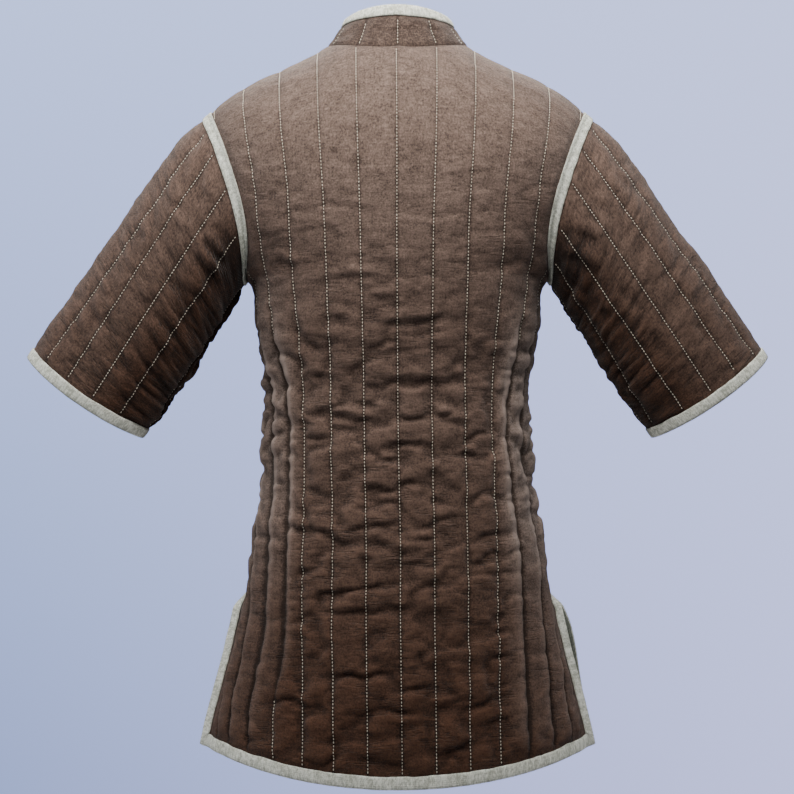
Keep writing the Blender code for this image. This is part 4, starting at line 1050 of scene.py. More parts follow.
# The cream tape in painted shade, for the inner turn of the slit bindings.
SHADED_TAPE_LOOK = cloth_material(
    "cream_tape_in_painted_shade", ((0.110, 0.118, 0.095), (0.215, 0.228, 0.190), (0.290, 0.300, 0.260)),
    ((0.110, 0.118, 0.095), (0.215, 0.228, 0.190), (0.290, 0.300, 0.260)),
    thread=0.00125, slub=1.5, mottle=1.6, crinkle=0.0, rough=0.88,
    bump=0.90, sheen=0.08, tone_gain=0.5)
THREAD_LOOK = cloth_material(
    "cream_thread", ((0.360, 0.300, 0.220), (0.640, 0.570, 0.460), (0.760, 0.700, 0.600)),
    ((0.500, 0.440, 0.350), (0.800, 0.740, 0.640), (0.880, 0.840, 0.760)),
    thread=0.00050, slub=0.5, mottle=0.3, crinkle=0.0, rough=0.75,
    bump=0.30, sheen=0.05, tone_gain=0.5)
BUTTON_LOOK = cloth_material(
    "button_linen", ((0.380, 0.370, 0.300), (0.660, 0.650, 0.560), (0.740, 0.730, 0.650)),
    ((0.400, 0.390, 0.320), (0.680, 0.670, 0.580), (0.760, 0.750, 0.670)),
    thread=0.00080, slub=0.8, mottle=0.5, crinkle=0.0, rough=0.86,
    bump=0.55, sheen=0.10, tone_gain=0.5)
CORD_LOOK = cloth_material(
    "cream_cord", ((0.380, 0.350, 0.270), (0.620, 0.590, 0.480), (0.700, 0.670, 0.570)),
    ((0.400, 0.370, 0.290), (0.640, 0.610, 0.500), (0.720, 0.690, 0.590)),
    thread=0.00055, slub=0.7, mottle=0.4, crinkle=0.0, rough=0.82,
    bump=0.45, sheen=0.08, tone_gain=0.5)


# ---- folded tapes ------------------------------------------------------------
def spaced(path, step):
    """Points every step metres along a polyline, both ends kept."""
    arc = arc_of(path)
    count = max(int(round(arc[-1] / step)), 2) + 1
    marks = np.linspace(0.0, arc[-1], count)
    return np.stack([np.interp(marks, arc, path[:, i]) for i in range(path.shape[1])], axis=1)


def fold_rings(edge, flat, normal_edge, normal_flat, seed):
    """Rings of a tape folded over a cloth edge, from edge and flat points on the outer face."""
    arc = arc_of(edge)
    along = unit(np.gradient(edge, axis=0))
    ahead = unit(edge - flat)
    ahead = unit(ahead - along * np.sum(ahead * along, axis=1, keepdims=True))
    ripple = 0.00085 * uneven(arc, 0.017, 0.5, seed)
    ripple += 0.00035 * uneven(arc, 0.0060, 1.5, seed + 1)
    swell = 0.00036 * uneven(arc, 0.021, 2.5, seed + 2)
    swell += 0.00022 * uneven(arc, 0.006, 3.5, seed + 3)
    outward = unit(flat - edge)
    flat = flat + outward * ripple[:, None]
    flat_in = flat - normal_flat * WALL
    edge_in = edge - normal_edge * WALL
    top = (LAY + BIND_T + swell)[:, None]
    rim = 0.0021 + 0.6 * swell[:, None]
    middle = 0.5 * (edge + edge_in)
    half = 0.5 * WALL + top
    low = 0.00025
    ring = [flat + normal_flat * low + outward * 0.0002,
            flat + normal_flat * (0.55 * top) + outward * 0.0006,
            flat * 0.93 + edge * 0.07 + normal_flat * (1.02 * top)]
    for share, rise in ((0.25, 1.10), (0.50, 1.16), (0.75, 1.12)):
        n = unit(normal_flat * (1.0 - share) + normal_edge * share)
        ring.append(flat * (1.0 - share) + edge * share + n * top * rise)
    for degrees in (80, 52, 24, 0, -24, -52, -80):
        a = math.radians(degrees)
        ring.append(middle + normal_edge * half * math.sin(a) + ahead * rim * math.cos(a))
    for share, rise in ((0.66, 1.10), (0.33, 1.10)):
        n = unit(normal_flat * (1.0 - share) + normal_edge * share)
        ring.append(flat_in * (1.0 - share) + edge_in * share - n * top * rise)
    ring.append(flat_in * 0.95 + edge_in * 0.05 - normal_flat * top)
    ring.append(flat_in - normal_flat * low + outward * 0.0002)
    ring.append(edge_in - normal_edge * low + ahead * low)
    ring.append(edge + normal_edge * low + ahead * low)
    return np.stack(ring, axis=1), arc


def ring_piece(name, rings, arc, materials, nodes, closed=False, inside=None):
    """A tube through rings of points; open ends are closed with a few faces."""
    count, wide = rings.shape[:2]
    quads = grid_faces(count, wide, 0, True)
    faces = [tuple(f) for f in quads]
    if closed:
        last = (count - 1) * wide
        for i in range(wide):
            j = (i + 1) % wide
            faces.append((last + i, last + j, j, i))
    else:
        faces.append(tuple(range(wide))[::-1])
        faces.append(tuple((count - 1) * wide + i for i in range(wide)))
    around = np.linspace(0.0, 0.034, wide)
    cloth = np.stack(np.broadcast_arrays(around[None, :], arc[:, None], 0.0), axis=-1)
    tone = np.full(rings.shape[:2], 0.5)
    marks = None if inside is None else [int(inside.ravel()[list(f)].all()) for f in faces]
    make_piece(name, rings.reshape(-1, 3), outward_faces(rings, faces), materials, nodes,
               cloth.reshape(-1, 3), tone.ravel(), marks)


def outward_faces(rings, faces):
    """Faces turned so that the tube's surface looks out."""
    centre = rings.mean(axis=1, keepdims=True)
    flat = rings.reshape(-1, 3)
    total = 0.0
    for f in faces[:4 * rings.shape[1]]:
        if len(f) != 4:
            continue
        p = flat[list(f)]
        n = np.cross(p[2] - p[0], p[3] - p[1])
        ring = min(f[0] // rings.shape[1], len(centre) - 1)
        total += float(np.dot(n, p.mean(axis=0) - centre[ring, 0]))
    return [f[::-1] for f in faces] if total < 0.0 else faces


def panel_place(face, side, a, v):
    """Points and outer normals of a panel at given places on its cloth."""
    s = side * np.asarray(a, float)
    return torso(face, s, v), torso_normal(face, s, v)


def panel_tape_path(face, side):
    """Cloth places of the edge and of the tape's inner line, slit top to hem and round."""
    v_side = np.linspace(TAPE_TOP, HEM_SIDE[face] + BIND_W, 72)
    edge = reach(face, np.full_like(v_side, side), v_side)
    corner = HEM_SIDE[face] + BIND_W
    share = (v_side - corner) / (ROLL_Z + ROLL_V - corner)
    low_in = hem_v(face, (edge - BIND_W) / edge)
    v_in = v_side + (low_in - HEM_SIDE[face]) * (1.0 - share)
    path = [np.stack([edge, v_side, edge - BIND_W, v_in], axis=1)]
    hem_edge = float(reach(face, np.array([side]), np.array([HEM_SIDE[face]]))[0])
    a_in = float(edge[-1] - BIND_W)
    v_corner = float(v_in[-1])
    drop = np.linspace(1.0, 0.0, 7)[1:]
    v_drop = HEM_SIDE[face] + BIND_W * drop
    e_drop = reach(face, np.full_like(v_drop, side), v_drop)
    path.append(np.stack([e_drop, v_drop,
                          a_in - 0.001 * (1.0 - drop), v_corner + 0.0014 * drop], axis=1))
    a = hem_edge - BIND_W * np.linspace(0.0, 1.0, 7)[1:]
    low = hem_v(face, a / hem_edge)
    slide = np.linspace(0.0, 1.0, 7)[1:]
    path.append(np.stack([a, low, a_in - 0.001 - 0.0016 * slide, np.full_like(a, v_corner)], axis=1))
    stop = FRONT_START + BIND_W if face == "front" else 0.0
    a = np.linspace(a_in - 0.0040, stop, 130)
    low = hem_v(face, a / hem_edge)
    path.append(np.stack([a, low, a, low + BIND_W], axis=1))
    if face == "front":
        middle = float(hem_v(face, np.array([0.0]))[0])
        turn = np.linspace(0.0, 1.0, 7)[1:]
        start, end = np.full_like(turn, FRONT_START), np.full_like(turn, stop)
        path.append(np.stack([stop - BIND_W * turn, np.full_like(turn, middle),
                              end, middle + BIND_W + 0.0012 * turn], axis=1))
        path.append(np.stack([start, middle + BIND_W * turn,
                              end, middle + BIND_W + 0.0012 + 0.0014 * turn], axis=1))
        neck = float(top_v("front", np.array([0.1]))[0])
        v = np.linspace(middle + BIND_W + 0.004, neck - 0.0006, 300)
        path.append(np.stack([np.full_like(v, FRONT_START), v, np.full_like(v, stop), v], axis=1))
    return np.concatenate(path)


def make_panel_tape(name, face, sides, nodes, seed):
    """The binding of a panel: both slit edges and hem, or slit, hem and front edge."""
    parts = []
    for side in sides:
        path = spaced(panel_tape_path(face, side), TAPE_STEP)
        edge, n_edge = panel_place(face, side, path[:, 0], path[:, 1])
        flat, n_flat = panel_place(face, side, path[:, 2], path[:, 3])
        slit = (path[:, 1] > HEM_SIDE[face] + 0.5 * BIND_W) & (path[:, 0] > 0.060)
        parts.append([edge, flat, n_edge, n_flat, slit])
    if len(parts) == 2:
        left, right = parts
        parts = [[np.concatenate([a, b[::-1][1:]]) for a, b in zip(left, right)]]
    edge, flat, n_edge, n_flat, slit = parts[0]
    rings, arc = fold_rings(edge, flat, n_edge, n_flat, seed)
    # Faces on the inner turn along the slits get the tape in painted shade.
    depth = np.einsum("ijk,ik->ij", rings - edge[:, None], n_edge)
    inside = slit[:, None] & (depth < -0.4 * WALL)
    ring_piece(name, rings, arc, [TAPE_LOOK, SHADED_TAPE_LOOK], nodes, inside=inside)


# ---- build -------------------------------------------------------------------
TORSO_ROWS = 377
HALF_COLUMNS = 121
# The sides that each panel is made of.
PANELS = {"back": (-1.0, 1.0), "front_left": (-1.0,), "front_right": (1.0,)}


def rim_turn(z):
    """Turn k of the back half of the armhole seam at a height."""
    return np.arccos(np.clip((ARM_MID - z) / ARM_HALF, -1.0, 1.0))


def inner_vectors(face, grid, normals, sides):
    """Direction from inner to outer face, mitred along the seams."""
    n = normals.copy()
    z = grid["z_side"][:, 0]
    for side, column in sides:
        k = rim_turn(z)
        k = k if face == "back" else 2.0 * math.pi - k
        arm = mirrored(sleeve_normal(k, np.zeros_like(k)), side)
        mitre = rim_vector(n[:, column], arm)
        plain = unit(n[:, column] * np.array([1.0, 0.0, 1.0]))
        pick_n = np.where((z > ARM_LOW)[:, None], mitre, plain)
        n[:, column] = np.where((z < SLIT_TOP)[:, None], normals[:, column], pick_n)
    top = grid["base"][-1]
    away = unit(np.stack([top[:, 0], 1.1 * top[:, 1], np.full(len(top), 0.008)], axis=1))
    neck = rim_vector(n[-1], away)
    flat = unit(n[-1] * np.array([1.0, 0.0, 1.0]))
    n[-1] = np.where((np.abs(grid["q"][-1]) < NECK_Q)[:, None], neck, flat)
    return n


surfaces = {}
for name, panel_sides in PANELS.items():
    face = name.split("_")[0]
    grid = whole_panel(*[fine_half(face, side, HALF_COLUMNS, TORSO_ROWS) for side in panel_sides])
    sides = [(side, 0 if side < 0.0 else -1) for side in panel_sides]
    normals = grid_normals(grid["base"], np.array([0.0, -1.0 if face == "back" else 1.0, 0.0]))
    up, near, fold, edge = torso_relief(face, grid)
    outer = grid["base"] + normals * up[..., None]
    inward = inner_vectors(face, grid, normals, sides)
    inner = grid["base"] - inward * WALL
    # Back and front are sewn edge to edge down the sides, as far as the slits.
    sewn = (grid["z_side"][:, 0] > SLIT_TOP - 0.0015) & (grid["z_side"][:, 0] < ARM_LOW)
    for side, column in sides:
        for surface in (outer, inner):
            surface[sewn, column, 1] = -0.00002 if face == "back" else 0.00002
    seam = np.exp(-((grid["to_side"] / 0.015) ** 2)) * sewn[:, None]
    cloth = np.stack([grid["a"], grid["v"], np.full_like(grid["a"], 1.0 + len(surfaces))], axis=-1)
    # Painted shade in the groove at each stitch line, deeper lower down, and in the valleys between
    # the side ridges; painted highlights on the ridges and their crests; painted shade in creases and
    # painted light on puffs.
    valley = np.exp(-((near / 0.0055) ** 2))
    upper = 0.30 + 0.70 * ramp((grid["v"] + 0.70) / 0.16)
    groove = 0.12 + 0.22 * ramp((-0.06 - grid["v"]) / 0.16)
    tone = 0.50 - groove * np.exp(-((near / 0.0022) ** 2)) - 0.45 * valley * fold * (1.0 - 0.8 * seam)
    tone = tone + (0.06 * fold + 0.50 * edge + 0.10 * seam * fold) * upper
    tone = tone + hollows(up)
    surfaces[name] = {"outer": outer, "normals": grid_normals(outer, normals), "grid": grid}
    # Painted light: lighter towards the shoulders, on the side ridges and most on their crests, more
    # on the ridges where q is above 0; darker on faces turned downwards and towards the hem.
    painted_light = painted_top_light(grid["base"], normals) + upper * (0.30 * fold + 0.44 * edge)
    painted_light = painted_light + 0.30 * upper * fold * (grid["q"] > 0.0) - 0.05 * ramp((-0.60 - grid["v"]) / 0.12)
    padded_wall("cloth_" + name, outer, inner, normals, cloth, tone, painted_light, name)

make_panel_tape("tape_back", "back", (-1.0, 1.0), ["binding_back"], 101)
make_panel_tape("tape_front_left", "front", (-1.0,), ["binding_front_left"], 111)
make_panel_tape("tape_front_right", "front", (1.0,), ["binding_front_right"], 121)


# ---- stitches of the torso ---------------------------------------------------
def column_path(surface, line):
    """Places along one stitch line, bottom to top, where the line is on the panel."""
    grid = surface["grid"]
    q = grid["q"]
    rows = []
    for r in range(q.shape[0]):
        if not q[r].min() <= line <= q[r].max():
            continue
        point = [np.interp(line, q[r], surface["outer"][r, :, i]) for i in range(3)]
        normal = [np.interp(line, q[r], surface["normals"][r, :, i]) for i in range(3)]
        side = float(np.interp(line, q[r], grid["to_side"][r]))
        hem = float(np.interp(line, q[r], grid["to_hem"][r]))
        top = float(np.interp(line, q[r], grid["to_top"][r]))
        flat = float(flat_width(grid["z_side"][r, :1])[0])
        buried = abs(line) > 3 and (-0.79 if line == -4 else -0.86) < point[2] < -0.37
        rows.append(point + normal + [-1.0 if buried else side - flat, hem - BIND_W, top])
    rows = np.reshape(rows, (-1, 9))
    inside = (rows[:, 6] > 0.001) & (rows[:, 7] > 0.001) & (rows[:, 8] > 0.001)
    return rows[:, :3], rows[:, 3:6], inside


LINES = {"back": range(-8, 9), "front_left": range(-8, 0), "front_right": range(1, 9)}
for name, lines in LINES.items():
    sew("stitches_" + name, [column_path(surfaces[name], line) for line in lines], 0.00040)


# ---- sleeves -----------------------------------------------------------------
SLEEVE_ROWS = 149
SLEEVE_COLUMNS_FINE = 240
SLEEVE_CREASES = {1.0: SLEEVE_CREASES_RIGHT, -1.0: SLEEVE_CREASES_LEFT}


def line_turns(t, ends):
    """Turns k of the twelve stitch lines at t: straight from armhole to cuff as seen from behind."""
    k = np.linspace(0.04, 0.97 * math.pi, 161)
    ring = sleeve_raw(k, np.full_like(k, t))
    found = []
    for x0, z0, x1, z1 in ends:
        long = math.hypot(x1 - x0, z1 - z0)
        off = ((ring[:, 2] - z0) * (x1 - x0) - (ring[:, 0] - x0) * (z1 - z0)) / long
        found.append(float(np.interp(0.0, np.maximum.accumulate(off), k)))
    found = np.maximum.accumulate(np.array(found) + 0.02 * np.arange(len(ends)))
    return np.concatenate([[0.0], found, [math.pi], 2.0 * math.pi - found[::-1], [2.0 * math.pi]])


def sleeve_grid(word, side, crowd=0.40):
    """Fine closed rings along a sleeve: base points, channel count, place on the cloth."""
    u = np.arange(SLEEVE_COLUMNS_FINE) * SLEEVE_CHANNELS / SLEEVE_COLUMNS_FINE
    q = u - crowd * np.sin(2.0 * math.pi * u) / (2.0 * math.pi)
    share = q / SLEEVE_CHANNELS
    t_rows = np.linspace(0.0, 1.0, SLEEVE_ROWS)
    knots = np.array([line_turns(t, SLEEVE_LINES[word]) for t in t_rows])
    wide = np.arange(-6, 7)
    weights = np.exp(-(wide / 3.0) ** 2)
    padded = np.concatenate([knots[:1]] * 6 + [knots] + [knots[-1:]] * 6)
    knots = sum(w * padded[i:i + len(knots)] for i, w in enumerate(weights)) / np.sum(weights)
    turns = [np.interp(q, np.arange(SLEEVE_CHANNELS + 1), row) for row in knots]
    rows = [sleeve_raw(turn, np.full_like(turn, t)) for turn, t in zip(turns, t_rows)]
    base = np.array(rows)
    k = np.array(turns)
    t = np.broadcast_to(t_rows[:, None], k.shape)
    along = t * sleeve_length(k)
    rest = (1.0 - t) * sleeve_length(k)
    return mirrored(base, side), k, t, along, rest, np.broadcast_to(q, k.shape), share


def sleeve_relief(side, base, k, t, along, rest, q, share):
    """Height of the cloth above the stitched surface, and distance to the nearest stitch line."""
    seed = 200 if side > 0 else 260
    near = np.abs(q - np.round(q)) * SLEEVE_PITCH
    cell = np.floor(q)
    ease = ramp((along - BAND_W) / 0.010) * ramp((rest - CUFF_W) / 0.010)
    pad = 1.0 - np.exp(-near / 0.0048)
    below = ramp((0.5 - np.abs(np.minimum(k, 2.0 * math.pi - k)) / math.pi) / 0.35)
    tall = 0.0018 + 0.0024 * below
    tall = tall * (1.0 + 0.30 * noise(along / 0.050, cell + 0.4, seed))
    girth = np.broadcast_to(share * SLEEVE_CHANNELS * SLEEVE_PITCH, along.shape)
    down = SLEEVE_LONG * t
    tight = np.exp(-((near / 0.0070) ** 2))
    up = tall * pad
    up = up + 0.00080 * noise(girth / 0.022, along / 0.0080, seed + 1) * tight
    up = up + 0.00110 * crumple(girth / 0.026, down / 0.016 + girth / 0.09, seed + 2)
    up = up + 0.0011 * noise(girth / 0.060, along / 0.050 - girth / 0.09, seed + 3)
    # The left sleeve drags in upright arcs, the right one in finer folds around the arm.
    calm = 1.0 - 0.65 * np.exp(-(((k - math.pi) / 0.55) ** 2))
    if side < 0:
        lean = down + 0.08 * girth + 1.1 * girth * girth
        up = up + 0.0022 * billow(girth / 0.080, lean / 0.025, seed + 4) * (0.5 + 0.5 * below) * calm
        up = up + 0.0012 * billow(girth / 0.045, (down + 0.1 * girth) / 0.014, seed + 24) * calm
    else:
        lean = down - 0.04 * girth
        up = up + 0.0022 * billow(girth / 0.050, lean / 0.017, seed + 4) * (0.5 + 0.5 * below) * calm
        up = up + 0.0012 * billow(girth / 0.080, (down + 0.1 * girth) / 0.030, seed + 24) * calm
    drag = ramp((0.17 - down) / 0.14)
    folds = billow(girth / 0.085, lean / 0.030, seed + 14)
    up = up + 0.0018 * drag * folds * (0.4 + 0.6 * below) * calm
    up = up + 0.6 * crinkles(girth, down, seed + 9) * (0.6 + 0.4 * below)
    back = ramp(-base[..., 1] / 0.012 + 0.5)
    creases = crease_relief(SLEEVE_CREASES[side], base[..., 0], base[..., 2], seed + 20)
    front = crease_relief(SLEEVE_CREASES[-side], -base[..., 0], base[..., 2], seed + 50)
    up = up + 1.3 * back * creases + 0.9 * (1.0 - back) * front
    start = np.minimum(share, 1.0 - share) * SLEEVE_CHANNELS * SLEEVE_PITCH
    return ease * held_up(up) * (1.0 - np.exp(-((start / 0.007) ** 2))), near


def make_sleeve(word, side):
    """A sleeve with its stitches and the binding of its cuff."""
    base, k, t, along, rest, q, share = sleeve_grid(word, side)
    normals = grid_normals(base, mirrored(sleeve_normal(k, t), side), closed=True)
    first = mirrored(sleeve_normal(k[0], np.zeros_like(k[0])), side)
    up, near = sleeve_relief(side, base, k, t, along, rest, q, share)
    outer = base + normals * up[..., None]
    inward = normals.copy()
    body = body_beside(side, base[0][:, 2], k[0] < math.pi)[1]
    inward[0] = rim_vector(first, body)
    inner = base - inward * WALL
    girth = np.broadcast_to(share * SLEEVE_CHANNELS * SLEEVE_PITCH, t.shape)
    cloth = np.stack([girth, SLEEVE_LONG * t, np.full_like(girth, 7.0 + side)], axis=-1)
    # Painted shade in the groove at each stitch line and in creases, painted light on puffs, and a
    # painted shadow in the hollow under the arm.
    tone = 0.50 - 0.34 * np.exp(-((near / 0.0022) ** 2)) + 0.7 * hollows(up)
    pit = ((np.abs(base[..., 0]) - 0.205) / 0.022) ** 2 + ((base[..., 2] + 0.270) / 0.026) ** 2
    tone = tone - 0.45 * np.exp(-pit)
    # Painted top light, lowered on the sleeves, and painted shade on their undersides.
    under = ramp((0.55 - np.abs(np.minimum(k, 2.0 * math.pi - k)) / math.pi) / 0.50)
    painted_light = np.clip(painted_top_light(base, normals) - 0.16 - 0.22 * under, 0.0, 1.0)
    tone = tone - 0.26 * under
    padded_wall("cloth_sleeve_" + word, outer, inner, normals, cloth, tone, painted_light,
                "sleeve_" + word, closed=True)
    fine = grid_normals(outer, normals, closed=True)
    order = share * SLEEVE_CHANNELS
    counts = np.concatenate([order[-1:] - SLEEVE_CHANNELS, order, order[:1] + SLEEVE_CHANNELS])
    ids = np.concatenate([[-1], np.arange(len(order)), [0]])
    lines = []
    for line in range(SLEEVE_CHANNELS):
        path, norms = [on_line(line, counts, grid[:, ids]) for grid in (outer, fine)]
        start, end = on_line(line, order, np.stack([along, rest], axis=-1)).T
        lines.append((path, norms, (start > BAND_W + 0.001) & (end > CUFF_W + 0.001)))
    sew("stitches_sleeve_" + word, lines, 0.00038)
    # The binding of the cuff.
    k_line = np.linspace(0.0, 2.0 * math.pi, 241)[:-1]
    one = np.ones_like(k_line)
    edge = mirrored(sleeve_raw(k_line, one), side)
    n_edge = mirrored(sleeve_normal(k_line, one), side)
    inset = 1.0 - CUFF_W / sleeve_length(k_line)
    flat = mirrored(sleeve_raw(k_line, inset), side)
    n_flat = mirrored(sleeve_normal(k_line, inset), side)
    rings, arc = fold_rings(edge, flat, n_edge, n_flat, 300 + int(side))
    ring_piece("tape_cuff_" + word, rings, arc, [TAPE_LOOK], ["binding_cuff_" + word],
               closed=True)


def make_band(word, side):
    """Flat tape laid over the armhole seam and sewn down along both edges."""
    k = np.linspace(0.0, 2.0 * math.pi, 261)[:-1]
    seam = mirrored(armhole(k), side)
    z = seam[:, 2]
    width = BAND_TIP + (BAND_W - BAND_TIP) * ramp((z - ARM_LOW) / 0.045)
    body, body_n = body_beside(side, z, k <= math.pi, width)
    arc = arc_of(seam)
    seed = 400 + int(side)
    ripple = 0.00045 * uneven(arc, 0.012, 0.5, seed)
    share = (0.95 * BAND_W + ripple) / sleeve_length(k)
    arm = mirrored(sleeve_raw(k, share), side)
    arm_n = mirrored(sleeve_normal(k, share), side)
    swell = 0.00025 * uneven(arc, 0.018, 2.5, seed + 2)
    swell = swell + 0.00014 * uneven(arc, 0.005, 3.5, seed + 3)
    top = (LAY + BIND_T + swell)[:, None]
    low = 0.00030
    lift = rim_vector(body_n, arm_n, 1.5)
    ring = []
    for share_x, rise in ((0.0, 0.25), (0.0, 0.75), (0.10, 1.05),
                          (0.35, 1.12), (0.65, 1.10), (1.0, 1.0)):
        n = unit(body_n * (1.0 - share_x) + lift * share_x)
        size = np.linalg.norm(lift, axis=1, keepdims=True) * share_x + (1.0 - share_x)
        ring.append(body * (1.0 - share_x) + seam * share_x + n * size * top * rise)
    for share_x, rise in ((0.35, 1.10), (0.65, 1.12), (0.90, 1.05), (1.0, 0.75), (1.0, 0.25)):
        n = unit(lift * (1.0 - share_x) + arm_n * share_x)
        size = np.linalg.norm(lift, axis=1, keepdims=True) * (1.0 - share_x) + share_x
        ring.append(seam * (1.0 - share_x) + arm * share_x + n * size * top * rise)
    ring.append(seam + lift * low)
    rings = np.stack(ring, axis=1)
    ring_piece("tape_armhole_" + word, rings, arc, [TAPE_LOOK], ["binding_armhole_" + word],
               closed=True)


for side, word in ((1.0, "right"), (-1.0, "left")):
    make_sleeve(word, side)
    make_band(word, side)


# ---- collar ------------------------------------------------------------------
def neck_path():
    """Neck seam from the left front edge round the back to the right front edge."""
    points = []
    normals = []
    for face, side, order in (("front", -1.0, 1), ("back", -1.0, -1),
                              ("back", 1.0, 1), ("front", 1.0, -1)):
        start = FRONT_START / NECK_PITCH if face == "front" else 0.0
        q = start + (NECK_Q - start) * np.sin(np.linspace(0.0, 0.5 * math.pi, 60))
        v = top_v(face, q)
        s = side * np.maximum(q * pitch_at(v), FRONT_START if face == "front" else 0.0)
        p = torso(face, s, v)
        n = torso_normal(face, s, v)
        if order < 0:
            p, n = p[::-1], n[::-1]
        points.append(p if not points else p[1:])
        normals.append(n if not normals else n[1:])
    return np.concatenate(points), np.concatenate(normals)


def make_collar():
    """The stand collar with its stitches and its binding."""
    rim, rim_n = neck_path()
    arc = arc_of(rim)
    arc -= 0.5 * arc[-1]
    half = arc[-1]
    start = FRONT_START

    def base(w, h):
        w = np.clip(w, -half, half)
        low = np.stack([np.interp(w, arc, rim[:, i]) for i in range(3)], axis=-1)
        turn = math.pi * w / half
        x = COLLAR_TOP_X * np.sin(turn * (1.0 - start / (math.pi * COLLAR_TOP_X)))
        front = np.abs(turn) > 0.5 * math.pi
        y = -np.cos(turn) * np.where(front, COLLAR_TOP_Y["front"], COLLAR_TOP_Y["back"])
        lift = np.cos(turn) ** 2
        z = COLLAR_TOP_Z["side"] + lift * np.where(
            front, COLLAR_TOP_Z["front"] - COLLAR_TOP_Z["side"],
            COLLAR_TOP_Z["back"] - COLLAR_TOP_Z["side"])
        top = np.stack([x, y, z], axis=-1)
        lean = h[..., None]
        bow = -0.10 * (low - top) * np.array([1.0, 1.0, 0.0])
        return low * (1.0 - lean) + top * lean + bow * (4.0 * lean * (1.0 - lean))

    rows, columns = 33, 281
    count = 2.0 * half / COLLAR_CHANNEL
    u = np.linspace(-0.5 * count, 0.5 * count, columns)
    fade = ramp((0.5 * count - np.abs(u)) / 0.5)
    q = u - 0.4 * fade * np.sin(2.0 * math.pi * u) / (2.0 * math.pi)
    w = np.broadcast_to(q * COLLAR_CHANNEL, (rows, columns))
    h = np.broadcast_to(np.linspace(0.0, 1.0, rows)[:, None], (rows, columns))
    points = base(w, h)
    normals = grid_normals(points, points * np.array([1.0, 1.0, 0.0]))
    near = np.abs(q - np.round(q)) * COLLAR_CHANNEL
    ease = ramp(h / 0.10) * ramp((1.0 - BIND_W / COLLAR_HEIGHT - h) / 0.16)
    ease = ease * ramp((half - BIND_W - np.abs(w)) / 0.010)
    up = (0.0021 * (1.0 - np.exp(-near / 0.0045)))[None, :] * ease
    up = up + ease * 0.0006 * crumple(w / 0.022, h * COLLAR_HEIGHT / 0.014, 500)
    creases = crease_relief(COLLAR_CREASES, points[..., 0], points[..., 2], 520)
    up = up + ease * creases * (points[..., 1] < 0.0)
    outer = points + normals * up[..., None]
    inward = normals.copy()
    low_n = np.stack([np.interp(w[0], arc, rim_n[:, i]) for i in range(3)], axis=-1)
    inward[0] = rim_vector(unit(low_n), normals[0])
    inner = points - inward * WALL
    cloth = np.stack([w, h * COLLAR_HEIGHT, np.full_like(w, 11.0)], axis=-1)
    # Painted shade in the groove at each stitch line, the whole collar darker, and a little less
    # painted top light than the body.
    tone = np.broadcast_to(0.24 - 0.34 * np.exp(-((near / 0.0022) ** 2)), h.shape)
    painted_light = 0.88 * painted_top_light(points, normals)
    padded_wall("cloth_collar", outer, inner, normals, cloth, tone, painted_light, "collar")
    fine = grid_normals(outer, normals)
    inside = (h[:, 0] > 0.03) & (h[:, 0] < 1.0 - BIND_W / COLLAR_HEIGHT - 0.02)
    lines = []
    for line in range(-int(count / 2), int(count / 2) + 1):
        if abs(line) * COLLAR_CHANNEL <= half - BIND_W - 0.004:
            lines.append((on_line(line, q, outer), on_line(line, q, fine), inside))
    sew("stitches_collar", lines, 0.00038)
    # The binding: up the left end, round the top, down the right end.
    flat_h = 1.0 - BIND_W / COLLAR_HEIGHT
    legs = []
    climb = np.linspace(0.02, flat_h, 16)
    legs.append([(-half, c, -half + BIND_W, c) for c in climb])
    legs.append([(-half, flat_h + (1.0 - flat_h) * p, -half + BIND_W, flat_h + 0.02 * p)
                 for p in (0.25, 0.5, 0.75, 1.0)])
    legs.append([(-half + BIND_W * p, 1.0, -half + BIND_W + 0.001 * p, flat_h + 0.02)
                 for p in (0.3, 0.6, 0.9)])
    span = np.linspace(-half + BIND_W + 0.0025, half - BIND_W - 0.0025, 150)
    legs.append([(p, 1.0, p, flat_h) for p in span])
    back_half = legs[0] + legs[1] + legs[2]
    legs.append([(-a, b, -c, d) for a, b, c, d in back_half[::-1]])
    size = np.array([1.0, COLLAR_HEIGHT, 1.0, COLLAR_HEIGHT])
    path = spaced(np.array([p for leg in legs for p in leg]) * size, 0.0032) / size

    def normal_at(w_at, h_at):
        w1 = np.clip(w_at + 0.002, -half, half)
        w0 = np.clip(w_at - 0.002, -half, half)
        h1 = np.clip(h_at + 0.03, 0.06, 1.0)
        across, rise = base(w1, h_at) - base(w0, h_at), base(w_at, h1) - base(w_at, h1 - 0.06)
        n = unit(np.cross(across, rise))
        outwards = n * base(w_at, h_at) * np.array([1.0, 1.0, 0.0])
        return n * np.sign(np.sum(outwards, axis=1, keepdims=True))

    edge = base(path[:, 0], path[:, 1])
    flat = base(path[:, 2], path[:, 3])
    rings, arc_t = fold_rings(edge, flat, normal_at(path[:, 0], path[:, 1]),
                              normal_at(path[:, 2], path[:, 3]), 540)
    ring_piece("tape_collar", rings, arc_t, [TAPE_LOOK], ["binding_collar"])


make_collar()


